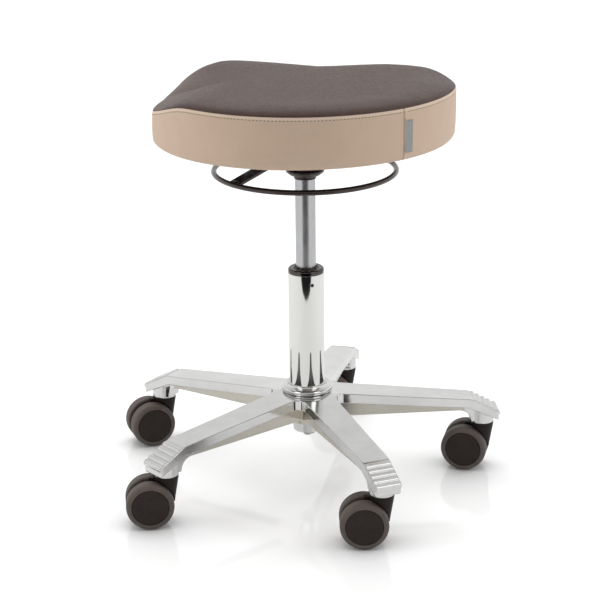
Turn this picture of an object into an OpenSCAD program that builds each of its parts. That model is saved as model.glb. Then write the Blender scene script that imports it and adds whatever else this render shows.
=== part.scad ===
// Height-adjustable work stool: five-star base on twin-wheel casters, gas-lift column,
// ring-shaped height release and a two-tone upholstered seat with thigh slopes.
// Origin on the floor under the column axis, +Z up, one base arm along +X,
// front of the seat towards -Y. The seat stands fully raised.

/* [Casters] */
// Diameter of each wheel over its tyre
wheel_d = 65; // [54:1:78]
// Width of one wheel
wheel_w = 19.5; // [14:0.5:24]
// Gap between the two wheels of a caster
wheel_gap = 11; // [8:0.5:16]
// Radial thickness of the tyre
tyre_t = 7.2; // [5:0.2:10]
// Radius of the tyre's outer shoulder
tyre_round = 6; // [3:0.5:7]
// Offset of the wheel axle from the stem
trail = 23; // [18:0.5:30]
// Diameter of the swivel stem
stem_d = 10; // [8:0.5:10]
// Depth of the stem in its socket
stem_depth = 22; // [16:0.5:23]
// Diameter of the wheel axle
axle_d = 8; // [6:0.5:10]
// Gap from the top of a wheel to the underside of the arm's boss
caster_headroom = 6; // [5:0.5:12]
// Directions in which the casters trail, one for each arm, in degrees
caster_yaw = [326, 320, 306, 320, 340];

/* [Base] */
// Radius of the circle through the caster stems
stem_circle_r = 251; // [209:1:302]
// Width of an arm at the hub
arm_w_hub = 46; // [40:0.5:50]
// Width of an arm at its pad
arm_w_tip = 37.5; // [36:0.5:42]
// Height of the arm's side flange
flange_h = 13; // [10:0.5:16]
// Height of the arm's top above the boss underside, where the pad begins
break_rise = 39; // [36:0.1:46]
// Height of the arm's top line above the boss underside, at the column axis
hub_rise = 61.3; // [56:0.1:70]
// Length of the pad in plan
pad_len = 41; // [34:0.5:48]
// Drop of the pad from its break line to its outer edge
pad_drop = 21.5; // [16:0.2:26]
// Number of raised ribs on a pad
rib_count = 5; // [3:1:6]
// Diameter of the boss under a pad
boss_d = 34; // [30:0.5:36]
// Width of the keel rib below an arm, at the hub
keel_w_hub = 32; // [24:0.5:38]
// Width of the keel rib below an arm, at the boss
keel_w_tip = 24; // [18:0.5:30]
// Diameter of the polished ring on top of the hub
hub_ring_d = 73; // [68:0.5:80]
// Radius of the fillets between neighbouring arms
crotch_r = 14; // [8:0.5:18]

/* [Column] */
// Outside diameter of the column tube
column_d = 50; // [46:0.5:60]
// Wall of the column tube
column_wall = 2.5; // [2:0.1:4]
// Length of column tube above the hub ring
column_exposed = 162.5; // [130:0.5:190]
// Height of the dark collar
collar_h = 7; // [5:0.5:10]
// Length of the guide bush
bush_len = 98; // [80:1:110]

/* [Gas spring] */
// Outside diameter of the pressure tube
tube_d = 28; // [26:0.5:34]
// Wall of the pressure tube
tube_wall = 1.5; // [1.2:0.1:2.5]
// Diameter of the piston rod
rod_d = 10; // [8:0.5:12]
// Height adjustment of the seat
lift_stroke = 120; // [90:1:140]
// Diameter of the valve pin
valve_d = 8; // [6:0.5:9]

/* [Height release] */
// Diameter of the release ring at the middle of its rod
ring_d = 248.8; // [220:1:270]
// Diameter of the ring's rod
ring_rod_d = 7.4; // [6:0.2:9]
// Width of the lever bar
lever_w = 20; // [14:0.5:24]
// Thickness of the lever bar
lever_t = 4; // [3:0.5:5]
// Distance of the lever's fulcrum from the column axis
fulcrum_x = 30; // [26:0.5:34]
// Diameter of the fulcrum pin
fulcrum_d = 6; // [5:0.5:8]

/* [Seat] */
// Width of the seat at its seam
seat_w = 422; // [352:1:506]
// Seat seam from the column axis to the rear
seat_rear = 193; // [175:1:210]
// Seat seam from the column axis to the nose
seat_front = 197; // [180:1:215]
// Height of the border, from the seat's underside to the rear seam
border_h = 69.5; // [60:0.5:80]
// Rise of the sitting surface above the seam
crown_h = 6; // [3:0.5:10]
// Extra rise of the nose ridge
nose_h = 4; // [0:0.5:8]
// Slope of the thigh areas in degrees
thigh_slope = 18; // [10:0.5:24]
// How far the outline is drawn in beside the nose
thigh_inset = 15.5; // [0:0.5:20]
// Thickness of the upholstery covers
cover_t = 2; // [1.4:0.1:3]
// Thickness of the plywood pan
pan_t = 12; // [9:0.5:15]
// Length and width of the seat plate
plate_size = [170, 150]; // [140:1:190]
// Thickness of the seat plate
plate_t = 3.5; // [2.5:0.1:5]
// Diameter of the plate bolts
bolt_d = 8; // [6:0.5:8]

/* [Hidden] */
$fn = 96;

// Clearances: running fits, press seats and pieces that only lie near each other
running = 0.05;
seat_gap = 0.1;
part_gap = 0.3;
// How far a cut runs past the face it opens
cut = 1;

// Five arms
arm_count = 5;
arm_step = 360 / arm_count;

// Heights of the base
wheel_r = wheel_d / 2;
boss_z = wheel_d + caster_headroom;
break_z = boss_z + break_rise;
hub_axis_z = boss_z + hub_rise;
pad_inside = 19;
break_r = stem_circle_r - pad_inside;
tip_r = break_r + pad_len;
tip_z = break_z - pad_drop;
pad_angle = atan(pad_drop / pad_len);
pad_slope_len = norm([pad_len, pad_drop]);
tip_h = 12;
tip_corner_r = 4;
rib_r = 4.6;
rib_rise = 2.4;
rib_lead = 1;
rib_spare = 0.2;
rib_inset = 0.75;
flange_extra = 1.5;
flange_back = 3;
hub_bottom_z = boss_z + 13;
hub_top_z = hub_axis_z + 8;
hub_lower_r = column_d / 2;
hub_lip = 0.8;
hub_flare_r = 5;
hub_nose_r = 4.4;
hub_nose_drop = 6.9;
hub_neck = 6;
core_r = 70;
core_drop = 0.05;
arm_fall = (hub_axis_z - break_z) / break_r;
low_fall = (hub_axis_z - flange_extra - break_z) / (break_r - flange_back);
side_fall = (arm_w_hub - arm_w_tip) / (2 * break_r - hub_ring_d);
side_turn = atan(side_fall);
crotch_far = (crotch_r / cos(side_turn) + (arm_w_hub + side_fall * hub_ring_d) / 2)
    / (sin(arm_step / 2) + side_fall * cos(arm_step / 2));
crotch_over = 0.03;
crotch_at = crotch_far * [cos(arm_step / 2), sin(arm_step / 2)];
crotch_foot = crotch_at - crotch_r * [sin(side_turn), cos(side_turn)];
keel_z = boss_z + 20.5;
keel_arc_r = 18;
keel_wall = 4;
keel_r = stem_circle_r - boss_d / 2 - keel_arc_r;
arm_roof = 6;
channel_from = 50;
channel_to = keel_r - 6;
channel_ramp = 8;

// Column: taper foot in the hub, then a straight tube
taper_slope = 0.068;
column_r = column_d / 2;
column_foot_z = boss_z - 1.5;
column_floor_t = 6;
column_floor_z = column_foot_z + column_floor_t;
column_top_z = hub_top_z + column_exposed;
column_bore_r = column_r - column_wall;
foot_r = column_r - taper_slope * (hub_top_z - column_foot_z);
foot_bore_r = foot_r - column_wall;
collar_top_z = column_top_z + collar_h;
collar_lip_h = 4;
collar_lip = 2;
collar_round = 3;
bush_relief = 1.5;
bush_land = 18;
screw_d = 5;
screw_z = column_top_z - 13;
screw_turn = 69;
screw_reach = 3;
screw_socket = 2.8;

// Thrust bearing on the column's floor
race_t = 2;
race_r = 14;
ball_d = 4;
ball_count = 12;
ball_circle_r = 10;
lower_race_z = column_floor_z;
ball_z = lower_race_z + race_t + seat_gap + ball_d / 2;
upper_race_z = ball_z + ball_d / 2 + seat_gap;
bump_z = upper_race_z + race_t;
bump_h = 3.5;

// Gas spring
rod_r = rod_d / 2;
tube_r = tube_d / 2;
tube_bore_r = tube_r - tube_wall;
tube_low_gap = 3;
tube_bottom_z = bump_z + bump_h + tube_low_gap + lift_stroke;
guide_h = 16;
piston_h = 16;
piston_groove = 1.2;
piston_groove_z = [5, 9];
end_gap = 3;
cavity_cone = 8;
piston_z = tube_bottom_z + guide_h + end_gap;
cavity_top_z = piston_z + piston_h + lift_stroke + cavity_cone;
clip_z = column_foot_z - 6;
clip_h = 3;
clip_r = rod_r + 6;
rod_foot_z = clip_z - 4;
rod_neck_r = rod_r - 1.5;
rod_neck_h = 6;
rod_chamfer = 0.8;

// Seat mechanism, counted upward from the mouth of the taper socket
park_gap = 7;
socket_z = collar_top_z + lift_stroke + park_gap;
web_z = socket_z + 21;
web_t = 4;
socket_top_z = web_z + web_t;
tube_top_z = socket_top_z + 4;
tube_taper = 0.5;
socket_neck_r = 22;
socket_mouth_r = tube_r + seat_gap;
socket_lip = [1, 4.3];
socket_cone = [[3, 6], [12.5, 16], [16, 18]];
lever_z = socket_z + 38;
valve_top_z = lever_z - lever_t / 2 - part_gap;
valve_foot_z = cavity_top_z + 12;
valve_chamfer = 1;
ring_z = socket_z + 12;
ring_r = ring_d / 2;
seat_z = socket_z + 60;
liner_t = 1;
plate_top_z = seat_z + 1;
plate_z = plate_top_z - plate_t;
pan_z = plate_top_z + liner_t;
pan_top_z = pan_z + pan_t;
seam_z = seat_z + border_h;

// Lever bar and its bracket
lever_flat = 35;
lever_end_r = ring_r - 1;
lever_end_z = ring_z + 1;
barrel_r = fulcrum_d / 2 + 2.5;
cheek_y = lever_w / 2 + 13;
cheek_t = 3.5;
cheek_x = [-38, fulcrum_x + 12];
fold_w = 12;
fold_back = 0.5;
pin_head_h = 2;
pin_head_r = fulcrum_d / 2 + 1.5;
pin_end = 2;

// Bolts through the seat plate
bolt_x = plate_size.x / 2 - 15;
bolt_y = plate_size.y / 2 - 20;
bolt_hole_d = bolt_d + 0.8;
bolt_head_h = 5.3;
bolt_head_d = 1.9 * bolt_d;
bolt_len = plate_t + liner_t + pan_t - 1;
plate_corner_r = 16;
nut_flange_r = bolt_d + 2;
nut_flange_t = 1.5;
nut_barrel_r = bolt_d / 2 + 1.4;
nut_barrel_h = pan_t - 2;

// Casters
wheel_in = wheel_gap / 2;
wheel_out = wheel_in + wheel_w;
core_r_wheel = wheel_r - tyre_t;
core_face_t = 4;
core_web_t = 2;
core_lip_t = 2.5;
core_inset = 0.5;
core_edge = [0.8, 0.6];
core_face_drop = 0.2;
tyre_inner_round = 2.5;
tyre_lip = 0.8;
axle_end_gap = 1;
core_hub_r = axle_d / 2 + 3.5;
hood_web_t = wheel_gap - 3;
hood_r = boss_d / 2;
hood_foot_r = 11;
hood_foot_z = wheel_r;
hood_top_z = boss_z - part_gap;
hood_lip_h = 3;
hood_web_inset = 4;
hood_web_z = wheel_r / 3;
wheel_clear = 1.4;

// Seat form
seat_sides = 56;
seat_rings = [0.2, 0.4, 0.57, 0.71, 0.82, 0.9, 0.96, 1];
shoulder_from = 0.88;
nose_at = [0, -135];
nose_spread = [55, 60];
thigh_turn = 39;
crease_at = 107;
crease_spread = [0.43, 0.19];
crease_soft = 9;
inset_at = 36;
inset_reach = 30;
side_bulge = 1;
side_shares = [0.75, 0.5];
turn_under = [[0, 20], [2.5, 9], [6, 3], [11, 0]];
hem_in = 24;
foam_gap = 0.2;
foam_edge = [1, 0.6];
foam_waist = 0.2;
foam_foot = 3;
pan_inset = 7;
pan_rebate = [5, 5.5];
liner_inset = hem_in + 2;
label_size = [12, 0.8, 42];
label_drop = 15;

// Seat outline at its seam, and the outline moved outward by d
function drawn_in(p) =
    abs(p - inset_at) < inset_reach ? pow(cos(90 * (p - inset_at) / inset_reach), 2) : 0;
function from_nose(t) = abs(t - 270);
function full_outline(t) = [seat_w / 2 * cos(t), (t < 180 ? seat_rear : seat_front) * sin(t)];
function outline(t, d = 0) =
    let (p = full_outline(t), r = norm(p))
    p * (1 + (d - thigh_inset * drawn_in(from_nose(t))) / r);

// Height of the sitting surface at a point, s running from 0 in the middle to 1 at the seam
function soft_ramp(w) = w > 8 * crease_soft ? w : crease_soft * ln(1 + exp(w / crease_soft));
function thigh_drop(p) =
    let (x = abs(p.x),
         w = x * cos(thigh_turn) - p.y * sin(thigh_turn),
         v = x * sin(thigh_turn) + p.y * cos(thigh_turn),
         crease = crease_at + (v > 0 ? crease_spread[0] : crease_spread[1]) * abs(v))
    tan(thigh_slope) * soft_ramp(w - crease);
function nose_rise(p) =
    nose_h * exp(-pow((p.x - nose_at.x) / nose_spread.x, 2) - pow((p.y - nose_at.y) / nose_spread.y, 2));
function shoulder(s) = s < shoulder_from ? 1 : 1 - pow((s - shoulder_from) / (1 - shoulder_from), 2);
function top_z(p, s) = seam_z + crown_h * shoulder(s) + nose_rise(p) - thigh_drop(p);
function edge_z(t) = top_z(outline(t), 1);

// Rings of points: one over the top at fraction s, one round the border at height share h
function turns() = [for (i = [0 : seat_sides - 1]) i * 360 / seat_sides];
function top_ring(s, d, drop) =
    [for (t = turns()) let (p = outline(t, d) * s) [p.x, p.y, top_z(outline(t) * s, s) - drop]];
function side_ring(d, h) =
    [for (t = turns()) let (p = outline(t, d)) [p.x, p.y, seat_z + h * (edge_z(t) - seat_z)]];
function low_ring(d, rise) = [for (t = turns()) let (p = outline(t, d)) [p.x, p.y, seat_z + rise]];

// Joins rings of equal length; between two end points, or round on itself
function band(a, b) =
    [for (i = [0 : seat_sides - 1]) let (j = (i + 1) % seat_sides)
        each [[a + i, a + j, b + i], [a + j, b + j, b + i]]];
module loft_between(first, rings, last) {
    points = concat([first], [for (r = rings) each r], [last]);
    count = len(rings);
    end = len(points) - 1;
    last_ring = 1 + (count - 1) * seat_sides;
    fan_first = [for (i = [0 : seat_sides - 1]) [0, 1 + (i + 1) % seat_sides, 1 + i]];
    fan_last = [for (i = [0 : seat_sides - 1]) [end, last_ring + i, last_ring + (i + 1) % seat_sides]];
    bands = [for (k = [0 : count - 2]) each band(1 + k * seat_sides, 1 + (k + 1) * seat_sides)];
    polyhedron(points, concat(fan_first, bands, fan_last));
}
module loft_round(rings) {
    points = [for (r = rings) each r];
    count = len(rings);
    bands = [for (k = [0 : count - 1]) each band(k * seat_sides, ((k + 1) % count) * seat_sides)];
    polyhedron(points, bands);
}
module outline_plate(inset, z, thickness) {
    translate([0, 0, z])
        linear_extrude(thickness)
            polygon([for (t = turns()) outline(t, -inset)]);
}

// A ring or disc turned about Z from z upward
module turned_ring(outer_r, inner_r, z, h) {
    translate([0, 0, z])
        difference() {
            cylinder(r = outer_r, h = h);
            translate([0, 0, -cut])
                cylinder(r = inner_r, h = h + 2 * cut);
        }
}
function turned(p, a) = [p.x * cos(a) - p.y * sin(a), p.x * sin(a) + p.y * cos(a)];
module at_arms() {
    for (k = [0 : arm_count - 1])
        rotate([0, 0, k * arm_step])
            children();
}
module at_bolts() {
    for (x = [-1, 1], y = [-1, 1])
        translate([x * bolt_x, y * bolt_y, 0])
            children();
}
// A side profile in X and Z given the width w across Y
module across(w) {
    rotate([90, 0, 0])
        linear_extrude(w, center = true)
            children();
}

// Everything below the arm's top line
module arm_envelope() {
    across(2 * boss_d)
        polygon([[0, 0], [0, hub_axis_z], [break_r, break_z], [tip_r, tip_z], [tip_r, 0]]);
}
module arm_profile(w) {
    across(w)
        polygon([
            [0, hub_axis_z],
            [break_r, break_z],
            [tip_r, tip_z],
            [tip_r, tip_z - tip_h],
            [break_r - flange_back, break_z - flange_h],
            [0, hub_axis_z - flange_h - flange_extra]]);
}
module arm_slab() {
    half_hub = arm_w_hub / 2;
    half_tip = arm_w_tip / 2;
    corner = [for (a = [0 : 15 : 90]) tip_corner_r * [sin(a), cos(a)]];
    corner_at = [tip_r - tip_corner_r, half_tip - tip_corner_r];
    side = [for (c = corner) corner_at + c];
    intersection() {
        arm_profile(2 * boss_d);
        linear_extrude(2 * hub_axis_z)
            polygon(concat(
                [[0, half_hub], [hub_ring_d / 2, half_hub], [break_r, half_tip]],
                side,
                [for (i = [len(side) - 1 : -1 : 0]) [side[i].x, -side[i].y]],
                [[break_r, -half_tip], [hub_ring_d / 2, -half_hub], [0, -half_hub]]));
    }
}
module keel_plan(inset) {
    linear_extrude(hub_axis_z)
        polygon([
            [0, keel_w_hub / 2 - inset],
            [stem_circle_r, keel_w_tip / 2 - inset],
            [stem_circle_r, -keel_w_tip / 2 + inset],
            [0, -keel_w_hub / 2 + inset]]);
}
module arm_keel() {
    web_foot_z = keel_z - keel_arc_r;
    intersection() {
        difference() {
            across(boss_d)
                polygon([
                    [0, keel_z],
                    [keel_r, keel_z],
                    [keel_r, web_foot_z],
                    [stem_circle_r, web_foot_z],
                    [stem_circle_r, break_z - flange_h],
                    [0, hub_axis_z - flange_h]]);
            translate([keel_r, 0, web_foot_z])
                across(boss_d + 2 * cut)
                    circle(r = keel_arc_r);
        }
        keel_plan(0);
        arm_envelope();
    }
}
// Open channel cast into the underside of an arm
module arm_channel() {
    intersection() {
        across(boss_d)
            polygon([
                [channel_from, 0],
                [channel_from, hub_axis_z - arm_fall * channel_from - arm_roof],
                [channel_to - channel_ramp, hub_axis_z - arm_fall * channel_to - arm_roof],
                [channel_to, keel_z],
                [channel_to, 0]]);
        keel_plan(keel_wall);
    }
}
module arm_boss() {
    intersection() {
        translate([stem_circle_r, 0, boss_z])
            cylinder(d = boss_d, h = break_rise);
        arm_envelope();
    }
}
module pad_ribs() {
    rib_step = pad_slope_len / (rib_count + rib_spare);
    translate([break_r, 0, break_z])
        rotate([0, pad_angle, 0])
            for (i = [1 : rib_count])
                translate([i * rib_step - rib_lead, 0, rib_rise - rib_r])
                    across(arm_w_tip - 2 * rib_inset)
                        circle(r = rib_r, $fn = 48);
}
// The hub between the arms: fillets in plan, its top and underside falling with the arms
module hub_pyramid(apex_z, fall) {
    h = fall * core_r * cos(arm_step / 2);
    rotate([0, 0, arm_step / 2]) {
        cylinder(r = core_r, h = apex_z - h, $fn = arm_count);
        translate([0, 0, apex_z - h])
            cylinder(r1 = core_r, r2 = 0, h = h, $fn = arm_count);
    }
}
module hub_core() {
    low_z = hub_axis_z - core_drop - flange_h - flange_extra;
    intersection() {
        linear_extrude(hub_axis_z)
            difference() {
                polygon([for (k = [0 : arm_count - 1], p = [[1, -1], [1, 1], [0, 1]])
                    turned(p.x == 1 ? [crotch_foot.x, p.y * crotch_foot.y] : crotch_at, k * arm_step)]);
                at_arms()
                    translate(crotch_at)
                        circle(r = crotch_r + crotch_over);
            }
        difference() {
            hub_pyramid(hub_axis_z - core_drop, arm_fall);
            hub_pyramid(low_z, low_fall);
        }
    }
}
module hub_ring() {
    ring_r_hub = hub_ring_d / 2;
    nose_at = [ring_r_hub - hub_nose_r, hub_top_z - hub_nose_drop];
    neck_r = ring_r_hub - hub_neck;
    nose = [for (a = [120 : -15 : -60]) nose_at + hub_nose_r * [cos(a), sin(a)]];
    flare_at = [column_r + hub_lip + hub_flare_r, hub_top_z];
    flare = [for (a = [180 : 15 : 240]) flare_at + hub_flare_r * [cos(a), sin(a)]];
    rotate_extrude()
        polygon(concat(
            [[0, hub_bottom_z], [0, hub_top_z]],
            flare,
            nose,
            [[neck_r, nose_at.y - hub_nose_r], [neck_r, hub_axis_z - flange_h],
             [hub_lower_r, hub_axis_z - flange_h - hub_neck], [hub_lower_r, hub_bottom_z]]));
}
module base_casting() {
    color("gainsboro")
        difference() {
            union() {
                hub_core();
                hub_ring();
                at_arms() {
                    arm_slab();
                    arm_keel();
                    arm_boss();
                    pad_ribs();
                }
            }
            translate([0, 0, hub_bottom_z - cut])
                cylinder(
                    r1 = column_r - taper_slope * (hub_top_z - hub_bottom_z + cut) + seat_gap,
                    r2 = column_r + taper_slope * cut + seat_gap,
                    h = hub_top_z - hub_bottom_z + 2 * cut);
            at_arms()
                arm_channel();
            at_arms()
                translate([stem_circle_r, 0, boss_z - cut])
                    cylinder(d = stem_d + 2 * running, h = stem_depth + 2 * cut);
        }
}

module column_tube() {
    color("whitesmoke")
        difference() {
            rotate_extrude()
                polygon([
                    [rod_r + running, column_foot_z],
                    [foot_r, column_foot_z],
                    [column_r, hub_top_z],
                    [column_r, column_top_z],
                    [column_bore_r, column_top_z],
                    [column_bore_r, hub_top_z],
                    [foot_bore_r, column_floor_z],
                    [rod_r + running, column_floor_z]]);
            rotate([0, 90, screw_turn])
                translate([-screw_z, 0, column_bore_r - cut])
                    cylinder(d = screw_d + 2 * running, h = column_wall + 2 * cut);
        }
}
module column_collar() {
    mouth_r = tube_r + part_gap;
    rim_at = [column_r - collar_round, collar_top_z - collar_round];
    rim = [for (a = [0 : 15 : 90]) rim_at + collar_round * [cos(a), sin(a)]];
    color("dimgray")
        rotate_extrude()
            polygon(concat(
                [[mouth_r, column_top_z], [column_r, column_top_z]],
                rim,
                [[mouth_r + collar_lip, collar_top_z], [mouth_r, collar_top_z - collar_lip_h]]));
}
module guide_bush() {
    bush_r = column_bore_r - running;
    bush_z = column_top_z - bush_len;
    waist_r = bush_r - bush_relief;
    upper_land_z = column_top_z - 2 * bush_land;
    color("ivory")
        difference() {
            rotate_extrude()
                polygon([
                    [tube_r + running, bush_z],
                    [bush_r, bush_z],
                    [bush_r, bush_z + bush_land],
                    [waist_r, bush_z + bush_land + bush_relief],
                    [waist_r, upper_land_z - bush_relief],
                    [bush_r, upper_land_z],
                    [bush_r, column_top_z],
                    [tube_r + running, column_top_z]]);
            rotate([0, 90, screw_turn])
                translate([-screw_z, 0, column_bore_r - screw_reach - cut])
                    cylinder(d = screw_d + 2 * running, h = screw_reach + 2 * cut);
        }
}
module bush_screw() {
    color("black")
        rotate([0, 90, screw_turn])
            translate([-screw_z, 0, column_bore_r - screw_reach])
                difference() {
                    cylinder(d = screw_d, h = column_wall + screw_reach - part_gap);
                    translate([0, 0, column_wall + screw_reach - part_gap - screw_socket])
                        cylinder(d = screw_d / 2, h = screw_socket + cut, $fn = 6);
                }
}
module lower_bearing_race() {
    color("silver")
        turned_ring(race_r, rod_r + part_gap, lower_race_z, race_t);
}

module piston_rod() {
    color("lightsteelblue")
        rotate_extrude()
            polygon([
                [0, rod_foot_z],
                [rod_r - rod_chamfer, rod_foot_z],
                [rod_r, rod_foot_z + rod_chamfer],
                [rod_r, clip_z],
                [rod_neck_r, clip_z],
                [rod_neck_r, clip_z + clip_h],
                [rod_r, clip_z + clip_h],
                [rod_r, piston_z + piston_h - rod_neck_h],
                [rod_neck_r, piston_z + piston_h - rod_neck_h],
                [rod_neck_r, piston_z + piston_h],
                [0, piston_z + piston_h]]);
}
module piston() {
    piston_r = tube_bore_r - running;
    groove_r = piston_r - piston_groove;
    inner_r = rod_r + running;
    step_z = piston_z + piston_h - rod_neck_h + running;
    color("darkgray")
        rotate_extrude()
            polygon([
                [inner_r, piston_z],
                [piston_r, piston_z],
                [piston_r, piston_z + piston_groove_z[0]],
                [groove_r, piston_z + piston_groove_z[0]],
                [groove_r, piston_z + piston_groove_z[1]],
                [piston_r, piston_z + piston_groove_z[1]],
                [piston_r, piston_z + piston_h],
                [rod_neck_r + running, piston_z + piston_h],
                [rod_neck_r + running, step_z],
                [inner_r, step_z]]);
}
module rod_clip() {
    color("gray")
        difference() {
            turned_ring(clip_r, rod_neck_r + running, clip_z + seat_gap, clip_h - 2 * seat_gap);
            translate([0, -rod_neck_r - running, clip_z])
                cube([clip_r + cut, 2 * rod_neck_r + 2 * running, clip_h]);
        }
}
module bearing_balls() {
    color("silver")
        for (i = [0 : ball_count - 1])
            rotate([0, 0, i * 360 / ball_count])
                translate([ball_circle_r, 0, ball_z])
                    sphere(d = ball_d, $fn = 32);
}
module upper_bearing_race() {
    color("silver")
        turned_ring(race_r, rod_r + running, upper_race_z, race_t);
}
module bump_stop() {
    color("black")
        turned_ring(race_r - 1, rod_r + running, bump_z, bump_h);
}

module pressure_tube() {
    socket_len = tube_top_z - socket_z;
    color("lightsteelblue")
        rotate_extrude()
            polygon([
                [tube_bore_r, tube_bottom_z],
                [tube_r, tube_bottom_z],
                [tube_r, socket_z],
                [tube_r - tube_taper * socket_len / (socket_top_z - socket_z), tube_top_z],
                [valve_d / 2 + running, tube_top_z],
                [valve_d / 2 + running, cavity_top_z + cavity_cone],
                [tube_bore_r, cavity_top_z],
                [tube_bore_r, tube_bottom_z]]);
}
module rod_guide() {
    color("black")
        turned_ring(tube_bore_r - running, rod_r + running, tube_bottom_z, guide_h);
}
module valve_pin() {
    color("silver")
        rotate_extrude()
            polygon([
                [0, valve_foot_z],
                [valve_d / 2, valve_foot_z],
                [valve_d / 2, valve_top_z - valve_chamfer],
                [valve_d / 2 - valve_chamfer, valve_top_z],
                [0, valve_top_z]]);
}

module taper_socket() {
    lip_r = socket_mouth_r + socket_lip[0];
    lip_z = socket_z + socket_lip[1];
    cone = [for (c = socket_cone) [tube_r + c[0], socket_z + c[1]]];
    rim_r = cone[len(cone) - 1].x;
    color("black")
        rotate_extrude()
            polygon(concat(
                [[socket_mouth_r, socket_z], [lip_r, socket_z], [lip_r, lip_z], [cone[0].x, lip_z]],
                cone,
                [[rim_r, web_z], [socket_neck_r, web_z], [socket_neck_r, socket_top_z],
                 [socket_mouth_r - tube_taper, socket_top_z]]));
}
module lever_bracket() {
    bracket_x = cheek_x[1] - cheek_x[0];
    cheek_h = plate_z - web_z;
    fold_y = cheek_y + fold_w / 2 - fold_back;
    color("black")
        difference() {
            union() {
                translate([cheek_x[0], -cheek_y, web_z])
                    cube([bracket_x, 2 * cheek_y, web_t]);
                for (side = [-1, 1])
                    translate([cheek_x[0], side * (cheek_y - cheek_t / 2) - cheek_t / 2, web_z])
                        cube([bracket_x, cheek_t, cheek_h]);
                for (side = [-1, 1])
                    translate([cheek_x[0], side * fold_y - fold_w / 2, plate_z - cheek_t])
                        cube([bracket_x, fold_w, cheek_t]);
            }
            translate([0, 0, web_z - cut])
                cylinder(r = socket_neck_r + seat_gap, h = web_t + 2 * cut);
            translate([fulcrum_x, 0, lever_z])
                across(3 * cheek_y)
                    circle(d = fulcrum_d + 2 * running);
        }
}
module lever_pin() {
    color("silver") {
        translate([fulcrum_x, 0, lever_z])
            across(2 * cheek_y + 2 * pin_end)
                circle(d = fulcrum_d);
        for (side = [-1, 1])
            translate([fulcrum_x, side * (cheek_y + part_gap + pin_head_h / 2), lever_z])
                across(pin_head_h)
                    circle(r = pin_head_r);
    }
}
module seat_plate() {
    color("black")
        difference() {
            translate([0, 0, plate_z])
                linear_extrude(plate_t)
                    hull()
                        for (x = [-1, 1], y = [-1, 1])
                            translate([
                                x * (plate_size.x / 2 - plate_corner_r),
                                y * (plate_size.y / 2 - plate_corner_r)])
                                circle(r = plate_corner_r, $fn = 32);
            at_bolts()
                translate([0, 0, plate_z - cut])
                    cylinder(d = bolt_hole_d, h = plate_t + 2 * cut);
        }
}
module plate_bolts() {
    color("silver")
        at_bolts() {
            translate([0, 0, plate_z - bolt_head_h])
                cylinder(d = bolt_head_d, h = bolt_head_h, $fn = 6);
            translate([0, 0, plate_z - cut])
                cylinder(d = bolt_d, h = bolt_len + cut);
        }
}
module tee_nuts() {
    color("silver")
        at_bolts()
            difference() {
                union() {
                    translate([0, 0, pan_top_z - nut_barrel_h])
                        cylinder(r = nut_barrel_r, h = nut_barrel_h);
                    translate([0, 0, pan_top_z - nut_flange_t])
                        cylinder(r = nut_flange_r, h = nut_flange_t);
                }
                translate([0, 0, pan_z])
                    cylinder(d = bolt_d + 2 * running, h = pan_t + cut);
            }
}

module seat_pan() {
    color("burlywood")
        difference() {
            union() {
                outline_plate(pan_inset + pan_rebate[0], pan_z, pan_t);
                outline_plate(pan_inset, pan_z + pan_rebate[1], pan_t - pan_rebate[1]);
            }
            at_bolts() {
                translate([0, 0, pan_z - cut])
                    cylinder(r = nut_barrel_r + seat_gap, h = pan_t + 2 * cut);
                translate([0, 0, pan_top_z - nut_flange_t - seat_gap])
                    cylinder(r = nut_flange_r + seat_gap, h = nut_flange_t + cut);
            }
        }
}
module bottom_liner() {
    color("black")
        difference() {
            outline_plate(liner_inset, pan_z - liner_t, liner_t);
            at_bolts()
                translate([0, 0, pan_z - liner_t - cut])
                    cylinder(d = bolt_hole_d, h = liner_t + 2 * cut);
        }
}
module seat_foam() {
    skin = cover_t + part_gap;
    foam_z = pan_top_z + foam_gap - seat_z;
    color("khaki")
        loft_between(
            [0, 0, top_z([0, 0], 0) - skin],
            concat(
                [for (s = seat_rings) top_ring(s, -skin - foam_edge[0], skin + foam_edge[1])],
                [side_ring(-skin - foam_waist, side_shares[0]), side_ring(-skin, side_shares[1]),
                 low_ring(-skin - foam_foot, foam_z)]),
            [0, 0, seat_z + foam_z]);
}
module seat_top_cover() {
    color("dimgray")
        loft_between(
            [0, 0, top_z([0, 0], 0)],
            concat(
                [for (s = seat_rings) top_ring(s, 0, 0)],
                [for (i = [len(seat_rings) - 1 : -1 : 0]) top_ring(seat_rings[i], -cover_t / 2, cover_t)]),
            [0, 0, top_z([0, 0], 0) - cover_t]);
}
module seat_side_cover() {
    seam_gap = cover_t + part_gap;
    last = len(turn_under) - 1;
    outer = [for (u = turn_under) low_ring(-u[0], u[1])];
    inner = [for (i = [last : -1 : 0]) let (u = turn_under[i], lift = cover_t * (1 - exp(-u[0] / 3)))
        low_ring(-u[0] - cover_t + lift / 2, u[1] + lift - (i == last ? part_gap : 0))];
    color("tan")
        loft_round(concat(
            [top_ring(1, 0, seam_gap)],
            [for (h = side_shares) side_ring(side_bulge, h)],
            outer,
            [low_ring(-hem_in, 0), low_ring(-hem_in, cover_t - part_gap)],
            inner,
            [for (i = [1 : -1 : 0]) side_ring(side_bulge - cover_t, side_shares[i])],
            [top_ring(1, -cover_t, seam_gap)]));
}
module seat_label() {
    color("gray")
        translate([-label_size.x, seat_rear + side_bulge + part_gap, seam_z - label_drop - label_size.z])
            cube(label_size);
}

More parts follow.
